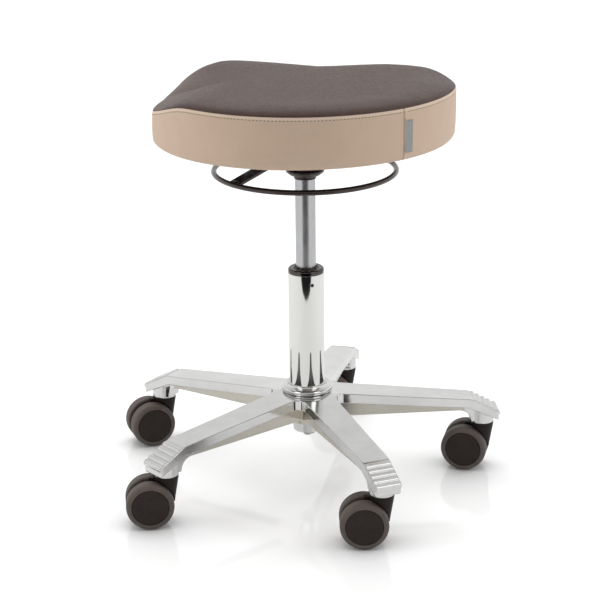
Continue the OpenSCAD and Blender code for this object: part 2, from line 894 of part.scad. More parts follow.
module release_ring() {
    color("black")
        translate([0, 0, ring_z])
            rotate_extrude()
                translate([ring_r, 0])
                    circle(d = ring_rod_d, $fn = 48);
}
module ring_lever() {
    half_t = lever_t / 2;
    right = [[lever_flat, lever_z], [lever_end_r, lever_end_z]];
    line = concat([for (i = [1, 0]) [-right[i].x, right[i].y]], right);
    color("black")
        difference() {
            union() {
                across(lever_w)
                    polygon(concat(
                        [for (p = line) p + [0, half_t]],
                        [for (i = [3 : -1 : 0]) line[i] - [0, half_t]]));
                translate([fulcrum_x, 0, lever_z])
                    across(lever_w)
                        circle(r = barrel_r);
            }
            translate([fulcrum_x, 0, lever_z])
                across(lever_w + 2 * cut)
                    circle(d = fulcrum_d + 2 * running);
            translate([0, 0, ring_z])
                rotate_extrude()
                    translate([ring_r, 0])
                        circle(d = ring_rod_d + 2 * seat_gap, $fn = 48);
        }
}

// Caster pieces, drawn with the stem on the Z axis and the wheels trailing along +X
module at_caster(k) {
    rotate([0, 0, (k - 1) * arm_step])
        translate([stem_circle_r, 0, 0])
            rotate([0, 0, caster_yaw[k - 1] - (k - 1) * arm_step])
                children();
}
module hood_shape() {
    difference() {
        union() {
            difference() {
                union() {
                    translate([0, 0, hood_foot_z])
                        cylinder(r1 = hood_foot_r, r2 = hood_r, h = hood_top_z - hood_lip_h - hood_foot_z);
                    translate([0, 0, hood_top_z - hood_lip_h])
                        cylinder(r = hood_r, h = hood_lip_h);
                }
                translate([trail, 0, wheel_r])
                    across(4 * wheel_out)
                        circle(r = wheel_r + wheel_clear);
            }
            intersection() {
                union() {
                    translate([trail, 0, wheel_r])
                        across(hood_web_t)
                            circle(r = wheel_r - hood_web_inset);
                    translate([-hood_foot_r, -hood_web_t / 2, hood_foot_z])
                        cube([trail + hood_foot_r, hood_web_t, hood_top_z - hood_lip_h - hood_foot_z]);
                }
                translate([-hood_r, -wheel_d, hood_web_z])
                    cube([2 * wheel_d, 2 * wheel_d, hood_top_z]);
            }
        }
        translate([0, 0, hood_top_z - stem_depth])
            cylinder(d = stem_d + 2 * seat_gap, h = stem_depth + cut);
        translate([trail, 0, wheel_r])
            across(2 * hood_web_t)
                circle(d = axle_d + 2 * running);
    }
}
module caster_hood(k) {
    color("#2b2422")
        at_caster(k)
            hood_shape();
}
module caster_pins(k) {
    axle_half = wheel_out - core_face_t - axle_end_gap;
    color("silver")
        at_caster(k) {
            translate([0, 0, hood_top_z - stem_depth + seat_gap])
                cylinder(d = stem_d, h = 2 * stem_depth - 2 * seat_gap);
            translate([trail, 0, wheel_r])
                across(2 * axle_half)
                    circle(d = axle_d);
        }
}
// A wheel turned about its axle, from its inner face at z = 0 to its outer face
module wheel_core() {
    bore_r = axle_d / 2 + running;
    rim_r = core_r_wheel - seat_gap;
    hollow_z = wheel_w - core_face_t - core_web_t;
    rotate_extrude()
        polygon([
            [0, wheel_w - core_face_t],
            [bore_r, wheel_w - core_face_t],
            [bore_r, core_inset],
            [core_hub_r, core_inset],
            [core_hub_r, hollow_z],
            [rim_r - core_lip_t, hollow_z],
            [rim_r - core_lip_t, core_inset],
            [rim_r, core_inset],
            [rim_r, wheel_w - 2 * core_edge[1]],
            [rim_r - core_edge[0], wheel_w - core_edge[1]],
            [0, wheel_w - core_face_drop]]);
}
module wheel_tyre() {
    outer_at = [wheel_r - tyre_round, wheel_w - tyre_round];
    inner_at = [wheel_r - tyre_inner_round, tyre_inner_round];
    shoulder = [for (a = [0 : 15 : 90]) outer_at + tyre_round * [cos(a), sin(a)]];
    inner = [for (a = [-90 : 15 : 0]) inner_at + tyre_inner_round * [cos(a), sin(a)]];
    rotate_extrude()
        polygon(concat(
            [[core_r_wheel, 0]],
            inner,
            shoulder,
            [[core_r_wheel + tyre_lip, wheel_w], [core_r_wheel, wheel_w - tyre_lip]]));
}
module at_wheel(k, side) {
    at_caster(k)
        translate([trail, side * wheel_in, wheel_r])
            rotate([side * -90, 0, 0])
                children();
}
module caster_core(k, side) {
    color("#30292a")
        at_wheel(k, side)
            wheel_core();
}
module caster_tyre(k, side) {
    color("#7a726c")
        at_wheel(k, side)
            wheel_tyre();
}

base_casting();
column_tube();
column_collar();
guide_bush();
bush_screw();
lower_bearing_race();
piston_rod();
piston();
rod_clip();
bearing_balls();
upper_bearing_race();
bump_stop();
pressure_tube();
rod_guide();
taper_socket();
lever_bracket();
lever_pin();
seat_plate();
plate_bolts();
tee_nuts();
seat_pan();
seat_foam();
seat_top_cover();
seat_side_cover();
bottom_liner();
seat_label();
valve_pin();
release_ring();
ring_lever();
for (k = [1 : 5]) {
    caster_hood(k);
    caster_pins(k);
    caster_core(k, 1);
    caster_tyre(k, 1);
    caster_core(k, -1);
    caster_tyre(k, -1);
}
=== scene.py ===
"""Looks of the height-adjustable work stool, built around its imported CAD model."""

import math

import bpy
import numpy as np
from mathutils import Matrix, Vector
from mathutils.kdtree import KDTree


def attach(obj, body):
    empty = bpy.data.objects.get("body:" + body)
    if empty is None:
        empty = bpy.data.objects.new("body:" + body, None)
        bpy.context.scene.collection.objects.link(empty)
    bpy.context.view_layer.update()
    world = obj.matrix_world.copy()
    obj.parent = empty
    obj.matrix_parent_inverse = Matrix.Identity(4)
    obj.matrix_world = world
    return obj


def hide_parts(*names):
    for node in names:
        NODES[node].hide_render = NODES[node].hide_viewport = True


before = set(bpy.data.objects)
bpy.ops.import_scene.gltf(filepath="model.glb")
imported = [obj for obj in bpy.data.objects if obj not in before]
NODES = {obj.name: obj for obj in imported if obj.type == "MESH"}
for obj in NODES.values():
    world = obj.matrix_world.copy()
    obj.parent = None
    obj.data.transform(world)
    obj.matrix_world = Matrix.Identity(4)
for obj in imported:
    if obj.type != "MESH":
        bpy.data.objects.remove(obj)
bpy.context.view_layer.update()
MM = 0.001

# Seat form in millimetres, as in the CAD model but for its lower nose
SEAT_W = 422.0
SEAT_REAR = 193.0
SEAT_FRONT = 197.0
SEAT_Z = 496.8
SEAM_Z = 566.3
CROWN = 6.0
SHOULDER_RUN = 26.0
NOSE_RISE = 1.0
NOSE_AT = -135.0
NOSE_SPREAD = (55.0, 60.0)
THIGH_SLOPE = math.radians(18)
THIGH_TURN = math.radians(39)
CREASE_AT = 107.0
CREASE_SPREAD = (0.43, 0.19)
CREASE_SOFT = 9.0
INSET = 15.5
INSET_AT = 36.0
INSET_REACH = 30.0
HEM_IN = 24.0
UNDER_RISE = 9.0
UNDER_RUN = 7.0

# How the seat in the photograph has settled, in millimetres; a side is its angle and reach in degrees
SLACK_DIP = 4.0
SLACK_AT = (-190.0, 98.0)
SLACK_SPREAD = 60.0
SLACK_SIDE = (176.0, 64.0)
SLACK_RUN = 30.0
STEEP_FROM = 3.0
STEEP_RUN = 14.0
ROLL_POWER = 2.3
THIGH_SIDES = (316.0, 224.0)
THIGH_REACH = 34.0
THIGH_FULL = 4.5
THIGH_RUN = 40.0
REAR_SIDE = (62.0, 85.0)
REAR_FULL = 2.5
REAR_RUN = 50.0
NOSE_SOFT = (276.0, 40.0)
LEAN = math.radians(-0.65)

# Rows of the top cover: shares of the way out, then distances in from the seam, then the fold under it
TOP_INNER = 30.0
TOP_RINGS = (0.04, 0.1, 0.17, 0.25, 0.33, 0.41, 0.49, 0.57, 0.65, 0.73, 0.8, 0.87, 0.94, 1.0)
TOP_EDGE = (25.0, 20.0, 16.0, 12.5, 9.5, 7.0, 5.0, 3.4, 2.1, 1.1, 0.4, 0.0)
TOP_FOLD = ((0.1, -0.7), (0.7, -1.6), (2.0, -2.6), (4.0, -6.0))
TOP_BACK = (0.6, 0.15)
TOP_DEPTH = 8.0
TOP_SHOWN = len(TOP_RINGS) + len(TOP_EDGE)

# Rows of the border, as distances out of the seam and heights: lip, side, roll under the seat, hem and back
STITCH_DROP = 5.2
BORDER_OUT = 1.0
BORDER_BULGE = 0.5
LIP_DEPTH = 8.0
BORDER_LIP = ((-2.4, -2.4), (-1.6, -0.9), (-0.9, -0.5), (-0.2, -0.9), (0.35, -1.7), (0.8, -2.7), (1.0, -3.9),
              (0.80, -STITCH_DROP), (0.92, -6.2), (BORDER_OUT, -LIP_DEPTH))
BORDER_SIDE = (0.12, 0.25, 0.4, 0.55, 0.7, 0.85)
BORDER_ROLL = 11
BORDER_HEM = ((-15.0, -0.15), (1.0 - HEM_IN, 0.0), (-HEM_IN, 0.6), (1.0 - HEM_IN, 1.6), (-12.5, 1.8), (-6.0, 9.0))
BORDER_BACK = ((-5.5, -14.0), (-4.5, -8.0))
BORDER_SHOWN = len(BORDER_LIP) + len(BORDER_SIDE) + BORDER_ROLL

# Rear seam: depth and half width of its groove; height, place and half width of the lips beside it; and the degrees
# to each side of it where the rows' points are closer together
SEAM_GROOVE = (1.5, 0.9)
SEAM_LIPS = (0.35, 3.0, 1.6)
SEAM_FINE = 1.4

# Cloth simulation. The voxel, the strip held at the seam and the softening are in metres, the cap in millimetres
SWELL_STEP = 3.0
SWELL_VOXEL = 0.006
SWELL_HELD = 0.006
SWELL_PRESSURE = 4.0
SWELL_STIFF = 30.0
SWELL_SHEAR = 12.0
SWELL_BEND = 2.0
SWELL_FRAMES = 20
SWELL_CAP = 1.2
SWELL_NEAR = 7
SWELL_SOFT = 0.0015

# Painted highlight, a lighter colour standing in for sheen: how far below the seam's height it starts on the thigh
# slope and how soon it is full, and the rows and share of the lip's
THIGH_PAINTED_SHEEN = (3.0, 16.0)
LIP_ROWS = 7
LIP_PAINTED_SHEEN = 0.55

# Stitches: length and radius of a thread and of the painted shade of a needle hole, and the thread's form as place,
# girth and dip
STITCH_FROM = 90.9
STITCH_OUT = 0.8
STITCH_PITCH = 4.8
STITCH_SLANT = math.radians(6)
STITCH_THREAD = (3.4, 0.5)
STITCH_HOLE_SHADE = (1.75, 0.8)
LABEL_PITCH = 3.6
LABEL_THREAD = (2.4, 0.4)
LABEL_HOLE_SHADE = (1.5, 0.6)
HOLE_START = 0.02
THREAD_ROWS = ((-0.5, 0.35, -0.55), (-0.36, 0.9, -0.12), (0.0, 1.0, 0.1), (0.36, 0.9, -0.12), (0.5, 0.35, -0.55))

# Height release: the ring, and the place and size of the weld beads on it
RING_R = 124.4
RING_Z = 448.8
WELD_IN = 3.2
WELD_UP = 2.2
WELD_SIZE = (4.2, 11.5, 3.0)
WELD_RIPPLE = 0.10

# Arms of the base, in metres: height of their tops at the axis and its fall, how far below that the keel is and
# where it ends, and the radii between which the hub's polish turns to brushing
ARM_HALF_TURN = math.radians(36)
ARM_TOP = 0.1323
ARM_FALL = 0.0961
KEEL_BELOW = (0.0125, 0.0150)
KEEL_END = (0.226, 0.222)
HUB_EDGE = (0.0375, 0.048)
POLISH_RUN = (0.038, 0.14)

# Photograph's camera; its focal length is in widths of the frame
CAMERA_AT = (1.57295, 1.84578, 1.0637)
CAMERA_TURN = math.radians(139.5627)
CAMERA_YAW = math.radians(-0.29)
CAMERA_PITCH = math.radians(18.23)
CAMERA_ROLL = math.radians(-0.67)
CAMERA_FOCUS = 1830.0 / 595.0
SENSOR = 36.0
TOWARDS_CAMERA = Vector((0.6486, 0.7611, 0.0))
CAMERA_RIGHT = Vector((-0.7611, 0.6486, 0.0))

# Studio, in metres. Angles are in degrees from the camera's side; heights are Z of a direction, the third a softness
FLOOR_FRONT, FLOOR_BACK, FLOOR_HALF, FLOOR_Z = 0.82, -4.0, 3.0, -0.0004
FLOOR_LIFT_FROM = (0.45, 1.3)
FLOOR_LIFT = (0.34, 0.42)
# Painted contact shadow: reach of the floor's occlusion mask, and the occlusion range over which its glow fades
SHADE_REACH = 0.125
SHADE_SPAN = (0.42, 0.965)
WALL_HEIGHTS = (0.15, 0.85)
ROOM_ANGLES, ROOM_HEIGHTS = (27, 40), (0.22, 0.02)
CEILING_ANGLES, CEILING_HEIGHTS = (75, 110), (0.52, 0.84, 0.12)
PANEL_HEIGHTS = (0.90, 0.97)
WINDOW_ANGLES, WINDOW_HEIGHTS, WINDOW_ASIDE = (12, 18), (0.50, 0.78, 0.05), 52
DEPTHS_ANGLES, DEPTHS_HEIGHTS = (125, 150), (0.08, 0.22, 0.08)
SECOND_BOUNCE = (1.2, 1.8)
AMBIENT = 0.60
SIDE_BOX_OUT, SIDE_BOX_BACK, SIDE_BOX_Z = 1.7, 0.1, 1.15
TOP_BOX_LEFT, TOP_BOX_BACK, TOP_BOX_Z = 0.2, 0.9, 2.2

# Range that holds most values of a noise, and the colour sockets of a Mix node
MIDDLE = (0.3, 0.7)
MIX_A, MIX_B, MIX_OUT = 6, 7, 2


# ---------------------------------------------------------------- camera


def make_camera():
    ahead = Vector((
        math.sin(CAMERA_YAW) * math.cos(CAMERA_PITCH),
        math.cos(CAMERA_YAW) * math.cos(CAMERA_PITCH),
        -math.sin(CAMERA_PITCH),
    ))
    right = Vector((math.cos(CAMERA_YAW), -math.sin(CAMERA_YAW), 0))
    up = right.cross(ahead)
    c, s = math.cos(CAMERA_ROLL), math.sin(CAMERA_ROLL)
    axes = Matrix((c * right + s * up, c * up - s * right, -ahead)).transposed()
    turn = Matrix.Rotation(CAMERA_TURN, 3, "Z")
    data = bpy.data.cameras.new("camera")
    data.sensor_fit = "HORIZONTAL"
    data.sensor_width = SENSOR
    data.lens = SENSOR * CAMERA_FOCUS
    data.clip_end = 50.0
    camera = bpy.data.objects.new("camera", data)
    bpy.context.scene.collection.objects.link(camera)
    camera.matrix_world = Matrix.Translation(CAMERA_AT) @ (turn @ axes).to_4x4()
    bpy.context.scene.camera = camera


# ---------------------------------------------------------------- shader helpers


class Tree:
    """A node tree, with short calls for the nodes that materials and the world share."""

    def __init__(self, tree):
        self.tree = tree

    def node(self, kind, **values):
        node = self.tree.nodes.new(kind)
        for key, value in values.items():
            setattr(node, key, value)
        return node

    def link(self, a, b):
        self.tree.links.new(a, b)

    def math(self, operation, a, b=None, clamp=False):
        node = self.node("ShaderNodeMath", operation=operation, use_clamp=clamp)
        for socket, value in zip(node.inputs, (a, b)):
            if value is None:
                continue
            if isinstance(value, (int, float)):
                socket.default_value = value
            else:
                self.link(value, socket)
        return node.outputs[0]

    def span(self, value, low, high, to_low=0.0, to_high=1.0, smooth=False):
        node = self.node("ShaderNodeMapRange", clamp=True)
        if smooth:
            node.interpolation_type = "SMOOTHSTEP"
        self.link(value, node.inputs[0])
        for socket, v in zip(node.inputs[1:5], (low, high, to_low, to_high)):
            socket.default_value = v
        return node.outputs[0]

    def mix(self, factor, a, b):
        node = self.node("ShaderNodeMix", data_type="RGBA")
        self.link(factor, node.inputs[0])
        for socket, value in ((node.inputs[MIX_A], a), (node.inputs[MIX_B], b)):
            if isinstance(value, tuple):
                socket.default_value = (*value, 1.0)
            else:
                self.link(value, socket)
        return node.outputs[MIX_OUT]


class Shader(Tree):
    """A material's node tree, with short calls for its textures and sockets."""

    def __init__(self, name):
        self.material = bpy.data.materials.new(name)
        self.material.use_nodes = True
        super().__init__(self.material.node_tree)
        self.bsdf = self.tree.nodes["Principled BSDF"]

    def set(self, **values):
        for key, value in values.items():
            self.bsdf.inputs[key.replace("_", " ")].default_value = value
        return self

    def place(self):
        return self.node("ShaderNodeTexCoord").outputs["Object"]

    def scaled(self, vector, scale):
        node = self.node("ShaderNodeVectorMath", operation="MULTIPLY")
        self.link(vector, node.inputs[0])
        node.inputs[1].default_value = scale
        return node.outputs[0]

    def noise(self, vector, scale, detail=2.0, roughness=0.5):
        node = self.node("ShaderNodeTexNoise")
        self.link(vector, node.inputs["Vector"])
        node.inputs["Scale"].default_value = scale
        node.inputs["Detail"].default_value = detail
        node.inputs["Roughness"].default_value = roughness
        return node.outputs["Fac"]

    def cells(self, vector, scale, feature="F1"):
        node = self.node("ShaderNodeTexVoronoi", feature=feature)
        self.link(vector, node.inputs["Vector"])
        node.inputs["Scale"].default_value = scale
        return node.outputs["Distance"]

    def bump(self, height, strength, distance, before=None):
        node = self.node("ShaderNodeBump")
        node.inputs["Strength"].default_value = strength
        node.inputs["Distance"].default_value = distance
        self.link(height, node.inputs["Height"])
        if before is not None:
            self.link(before, node.inputs["Normal"])
        return node.outputs["Normal"]

    def rounded(self, radius, share=None):
        """Shading normal with the edges rounded off by radius millimetres, or by a share of it."""
        node = self.node("ShaderNodeBevel", samples=8)
        node.inputs["Radius"].default_value = radius * MM
        if share is not None:
            self.link(self.math("MULTIPLY", share, radius * MM), node.inputs["Radius"])
        return node.outputs[0]

    def colour(self, socket):
        self.link(socket, self.bsdf.inputs["Base Color"])

    def rough(self, socket):
        self.link(socket, self.bsdf.inputs["Roughness"])

    def normal(self, socket):
        self.link(socket, self.bsdf.inputs["Normal"])

    def surface(self, shader):
        self.link(shader.outputs[0], self.tree.nodes["Material Output"].inputs["Surface"])


def dark(c, k):
    return tuple(v * k for v in c)


def cast_aluminium():
    """Hand-polished casting: polishing lines run out along each arm, and the keel below it is left duller and darker
    and warmer, partly its as-cast finish and partly a painted reflection of the shaded floor and the seat.
    """
    m = Shader("cast_aluminium").set(Metallic=1.0)
    place = m.place()
    xyz = m.node("ShaderNodeSeparateXYZ")
    m.link(place, xyz.inputs[0])
    x, y, z = xyz.outputs
    radius = m.math("SQRT", m.math("ADD", m.math("MULTIPLY", x, x), m.math("MULTIPLY", y, y)))
    turn = m.math("ARCTAN2", y, x)
    wrap = m.node("ShaderNodeMath", operation="WRAP")
    m.link(turn, wrap.inputs[0])
    wrap.inputs[1].default_value = ARM_HALF_TURN
    wrap.inputs[2].default_value = -ARM_HALF_TURN
    along = m.math("MULTIPLY", radius, m.math("COSINE", wrap.outputs[0]))
    across = m.math("MULTIPLY", radius, m.math("SINE", wrap.outputs[0]))
    polar = m.node("ShaderNodeCombineXYZ")
    for value, socket in zip((along, across, z), polar.inputs):
        m.link(value, socket)
    brushed = m.span(radius, *HUB_EDGE, smooth=True)
    lines = m.noise(m.scaled(polar.outputs[0], (40, 1500, 900)), 1.0, 3.0, 0.6)
    lines = m.math("MULTIPLY", lines, brushed)
    cloud = m.noise(place, 26.0, 3.0, 0.55)
    below = m.math("SUBTRACT", m.math("SUBTRACT", ARM_TOP, m.math("MULTIPLY", along, ARM_FALL)), z)
    keel = m.math("MULTIPLY", m.span(below, *KEEL_BELOW, smooth=True), m.span(along, *KEEL_END))
    polished = m.mix(m.span(cloud, *MIDDLE), (0.76, 0.757, 0.748), (0.84, 0.838, 0.832))
    # The keel colour is partly the as-cast metal and partly a painted reflection of the shaded floor and the beige
    # seat
    m.colour(m.mix(keel, polished, (0.67, 0.64, 0.57)))
    sheen = m.math("ADD", m.span(lines, *MIDDLE, 0.0, 0.07), m.span(along, *POLISH_RUN, 0.03, 0.15, True))
    m.rough(m.math("ADD", sheen, m.math("MULTIPLY", keel, 0.12)))
    m.normal(m.bump(lines, 0.10, 0.0002, m.bump(cloud, 0.03, 0.002, m.rounded(1.8, brushed))))
    return m.material


def chrome(name, colour, rough):
    """Plated tube, faintly hazy and wavy."""
    m = Shader(name).set(Metallic=1.0)
    place = m.place()
    haze = m.noise(m.scaled(place, (60, 60, 12)), 1.0, 3.0, 0.6)
    m.colour(m.mix(m.span(haze, 0.35, 0.65), dark(colour, 0.97), colour))
    m.rough(m.span(haze, *MIDDLE, rough * 0.8, rough * 1.3))
    m.normal(m.bump(m.noise(place, 30.0, 1.0), 0.02, 0.001, m.rounded(0.5)))
    return m.material


def drawn_steel(name, colour, rough):
    """Steel with fine lines drawn along Z."""
    m = Shader(name).set(Metallic=1.0)
    place = m.place()
    lines = m.noise(m.scaled(place, (2600, 2600, 18)), 1.0, 2.0, 0.5)
    cloud = m.noise(place, 45.0, 2.0)
    m.colour(m.mix(m.span(lines, *MIDDLE), dark(colour, 0.9), colour))
    streaks = m.span(lines, *MIDDLE, rough * 0.85, rough * 1.15)
    m.rough(m.math("ADD", streaks, m.span(cloud, *MIDDLE, 0.0, 0.04)))
    m.normal(m.bump(lines, 0.08, 0.0002))
    return m.material


def bright_steel():
    """Plated fasteners and pins."""
    m = Shader("bright_steel").set(Metallic=1.0)
    cloud = m.noise(m.place(), 220.0, 3.0)
    m.colour(m.mix(m.span(cloud, *MIDDLE), (0.52, 0.53, 0.55), (0.66, 0.67, 0.68)))
    m.rough(m.span(cloud, *MIDDLE, 0.22, 0.36))
    m.normal(m.bump(cloud, 0.05, 0.0003, m.rounded(0.4)))
    return m.material


def black_coat(name, rough, grain, depth, coat):
    """Black powder coat with a brown cast: orange-peel skin, paler where it is worn thin, and highlights tinted warm
    as a painted reflection of the beige seat.
    """
    m = Shader(name).set(Coat_Weight=coat, Coat_Roughness=0.15)
    # Warm specular tint: painted reflection of the beige border in the highlights
    m.set(Specular_IOR_Level=0.6, Specular_Tint=(1.0, 0.80, 0.74, 1.0))
    place = m.place()
    peel = m.noise(place, grain, 2.0, 0.5)
    wear = m.noise(place, 70.0, 4.0, 0.65)
    m.colour(m.mix(m.span(wear, 0.45, 0.8), (0.0172, 0.0105, 0.0095), (0.036, 0.0235, 0.0210)))
    m.rough(m.span(wear, *MIDDLE, rough * 0.85, rough * 1.2))
    m.normal(m.bump(peel, depth, 0.0005, m.rounded(0.7)))
    return m.material


def moulded_plastic(name, low, high, rough, grain, depth, shine=0.32):
    """Plastic or rubber from a spark-eroded mould, faintly specked."""
    m = Shader(name).set(Specular_IOR_Level=shine)
    place = m.place()
    erode = m.cells(place, grain)
    cloud = m.noise(place, 60.0, 3.0)
    speck = m.noise(place, 520.0, 2.0, 0.7)
    tone = m.math("ADD", m.math("MULTIPLY", cloud, 0.4), m.math("MULTIPLY", speck, 0.6))
    m.colour(m.mix(m.span(tone, 0.36, 0.64), low, high))
    m.rough(m.span(cloud, *MIDDLE, rough * 0.9, rough * 1.1))
    m.normal(m.bump(erode, depth, 0.0003, m.rounded(0.8)))
    return m.material


def tyre_rubber():
    """Soft grey tread, a little paler and dustier in patches."""
    m = Shader("grey_tyre").set(Specular_IOR_Level=0.35)
    place = m.place()
    dust = m.noise(place, 90.0, 4.0, 0.6)
    fine = m.noise(place, 2200.0, 2.0)
    m.colour(m.mix(m.span(dust, 0.3, 0.75), (0.100, 0.080, 0.070), (0.134, 0.111, 0.099)))
    m.rough(m.span(dust, *MIDDLE, 0.5, 0.62))
    m.normal(m.bump(fine, 0.10, 0.0003, m.rounded(0.6)))
    return m.material


def leatherette(name, low, high, rough, grain, depth, mottle, pucker, shine, dull, painted_sheen_colour):
    """Coated cloth: pebbled skin with fine creases, softly mottled and duller in patches, and painted paler where its
    edge attribute says: a painted highlight standing in for sheen.
    """
    m = Shader(name).set(Specular_Tint=(1.0, 0.90, 0.87, 1.0))
    place = m.place()
    warp = m.node("ShaderNodeVectorMath", operation="ADD")
    shift = m.node("ShaderNodeTexNoise")
    m.link(place, shift.inputs["Vector"])
    shift.inputs["Scale"].default_value = grain * 0.6
    m.link(place, warp.inputs[0])
    m.link(m.scaled(shift.outputs["Color"], (0.0006, 0.0006, 0.0006)), warp.inputs[1])
    pebble = m.cells(warp.outputs[0], grain)
    crease = m.cells(warp.outputs[0], grain * 0.42, "DISTANCE_TO_EDGE")
    height = m.math("ADD", m.span(pebble, 0.1, 0.6, 1.0, 0.0), m.span(crease, 0.0, 0.12))
    cloud = m.noise(place, 38.0, 4.0, 0.62)
    fleck = m.noise(place, 420.0, 3.0, 0.6)
    tone = m.math("ADD", m.math("MULTIPLY", cloud, mottle), m.math("MULTIPLY", fleck, 1.0 - mottle))
    # Painted highlight: the edge attribute mixes in a lighter colour where the cover would catch the light
    painted_sheen_share = m.node("ShaderNodeAttribute", attribute_name="edge").outputs["Fac"]
    skin_colour = m.mix(painted_sheen_share, m.mix(m.span(tone, 0.36, 0.64), low, high), painted_sheen_colour)
    m.colour(skin_colour)
    patch = m.noise(place, 150.0, 4.0, 0.7)
    m.rough(m.span(fleck, *MIDDLE, rough * 0.88, rough * 1.12))
    m.link(m.span(patch, *MIDDLE, *shine), m.bsdf.inputs["Specular IOR Level"])
    skin = m.bump(height, depth, 0.0003, m.bump(patch, pucker, 0.001))
    m.normal(skin)
    matt = m.node("ShaderNodeBsdfDiffuse")
    m.link(skin_colour, matt.inputs["Color"])
    m.link(skin, matt.inputs["Normal"])
    worn = m.math("ADD", m.math("MULTIPLY", patch, 0.6), m.math("MULTIPLY", fleck, 0.4))
    blend = m.node("ShaderNodeMixShader")
    m.link(m.span(worn, 0.38, 0.66, 0.0, dull), blend.inputs[0])
    m.link(m.bsdf.outputs[0], blend.inputs[1])
    m.link(matt.outputs[0], blend.inputs[2])
    m.surface(blend)
    return m.material


def thread(name, low, high):
    """Twisted sewing thread, and the painted shade inside a needle hole."""
    m = Shader(name).set(Sheen_Weight=0.3, Roughness=0.7)
    twist = m.noise(m.place(), 2600.0, 2.0)
    m.colour(m.mix(m.span(twist, 0.35, 0.65), low, high))
    m.normal(m.bump(twist, 0.3, 0.0002))
    return m.material


def woven_cloth(name, low, high, pitch, depth, sheen, rough):
    """Plain weave whose threads run along two axes of the piece."""
    m = Shader(name).set(Sheen_Weight=sheen, Roughness=rough)
    place = m.place()
    xyz = m.node("ShaderNodeSeparateXYZ")
    m.link(place, xyz.inputs[0])
    waves = []
    for value in (m.math("ADD", xyz.outputs[0], xyz.outputs[1]), m.math("ADD", xyz.outputs[2], xyz.outputs[1])):
        waves.append(m.math("SINE", m.math("MULTIPLY", value, 2 * math.pi / pitch)))
    weave = m.math("MULTIPLY", waves[0], waves[1])
    cloud = m.noise(place, 150.0, 3.0)
    tone = m.math("MULTIPLY", m.span(weave, -1.0, 1.0), m.span(cloud, 0.2, 0.8, 0.6, 1.0))
    m.colour(m.mix(tone, low, high))
    m.normal(m.bump(weave, depth, 0.0002))
    return m.material


def plywood():
    """Birch ply: thin plies in Z, fibres along X."""
    m = Shader("plywood").set(Roughness=0.7)
    place = m.place()
    plies = m.noise(m.scaled(place, (4, 4, 620)), 1.0, 2.0)
    fibre = m.noise(m.scaled(place, (14, 420, 420)), 1.0, 3.0)
    tone = m.math("ADD", m.math("MULTIPLY", plies, 0.6), m.math("MULTIPLY", fibre, 0.4))
    m.colour(m.mix(m.span(tone, 0.35, 0.65), (0.34, 0.21, 0.11), (0.60, 0.43, 0.26)))
    m.normal(m.bump(fibre, 0.2, 0.0003))
    return m.material


MATERIALS = {
    "cast_aluminium": cast_aluminium(),
    "column_chrome": chrome("column_chrome", (0.85, 0.86, 0.83), 0.045),
    # Chrome painted dark: its dark colour stands in for the dark seat underside that the collar mirrors, a painted
    # reflection
    "black_chrome": chrome("black_chrome", (0.105, 0.094, 0.09), 0.05),
    "tube_steel": drawn_steel("tube_steel", (0.64, 0.647, 0.657), 0.285),
    "bright_steel": bright_steel(),
    "black_powder": black_coat("black_powder", rough=0.42, grain=1500.0, depth=0.12, coat=0.0),
    "black_gloss": black_coat("black_gloss", rough=0.24, grain=300.0, depth=0.04, coat=0.4),
    "acetal": moulded_plastic(
        "acetal", (0.62, 0.60, 0.52), (0.70, 0.68, 0.60), rough=0.4, grain=900.0, depth=0.05),
    "rubber": moulded_plastic(
        "rubber", (0.018, 0.018, 0.018), (0.03, 0.03, 0.03), rough=0.8, grain=1400.0, depth=0.2),
    "plywood": plywood(),
    "hood_plastic": moulded_plastic(
        "hood_plastic", (0.0115, 0.0075, 0.0062), (0.0185, 0.0128, 0.011), rough=0.45, grain=1900.0, depth=0.16,
        shine=0.22),
    "disc_plastic": moulded_plastic(
        "disc_plastic", (0.0185, 0.0115, 0.0093), (0.036, 0.025, 0.0213), rough=0.55, grain=1700.0, depth=0.22,
        shine=0.3),
    "grey_tyre": tyre_rubber(),
    # The last colour of each leatherette is a painted highlight, the lighter tone laid on the thigh slope or the lip
    "dark_leatherette": leatherette(
        "dark_leatherette", (0.0575, 0.0355, 0.030), (0.0945, 0.062, 0.0535), rough=0.40, grain=620.0, depth=0.5,
        mottle=0.3, pucker=0.34, shine=(0.26, 0.58), dull=0.5, painted_sheen_colour=(0.112, 0.076, 0.063)),
    "beige_leatherette": leatherette(
        "beige_leatherette", (0.622, 0.463, 0.346), (0.655, 0.493, 0.372), rough=0.42, grain=900.0, depth=0.2,
        mottle=0.6, pucker=0.06, shine=(0.45, 0.55), dull=0.1, painted_sheen_colour=(0.80, 0.64, 0.51)),
    "liner_cloth": woven_cloth(
        "liner_cloth", (0.010, 0.010, 0.011), (0.022, 0.022, 0.023), pitch=0.0012, depth=0.4, sheen=0.1, rough=0.9),
    "label_cloth": woven_cloth(
        "label_cloth", (0.27, 0.285, 0.29), (0.40, 0.42, 0.425), pitch=0.0007, depth=0.3, sheen=0.2, rough=0.5),
    "beige_thread": thread("beige_thread", (0.50, 0.37, 0.28), (0.66, 0.51, 0.39)),
    "needle_hole": thread("needle_hole", (0.020, 0.013, 0.010), (0.045, 0.030, 0.022)),
}


# ---------------------------------------------------------------- mesh helpers


def add_mesh(name, points, faces, material, smooth=True):
    mesh = bpy.data.meshes.new(name)
    mesh.from_pydata([tuple(p) for p in points], [], [tuple(int(i) for i in f) for f in faces])
    mesh.update()
    mesh.polygons.foreach_set("use_smooth", [smooth] * len(mesh.polygons))
    mesh.materials.append(MATERIALS[material])
    obj = bpy.data.objects.new(name, mesh)
    bpy.context.scene.collection.objects.link(obj)
    return obj


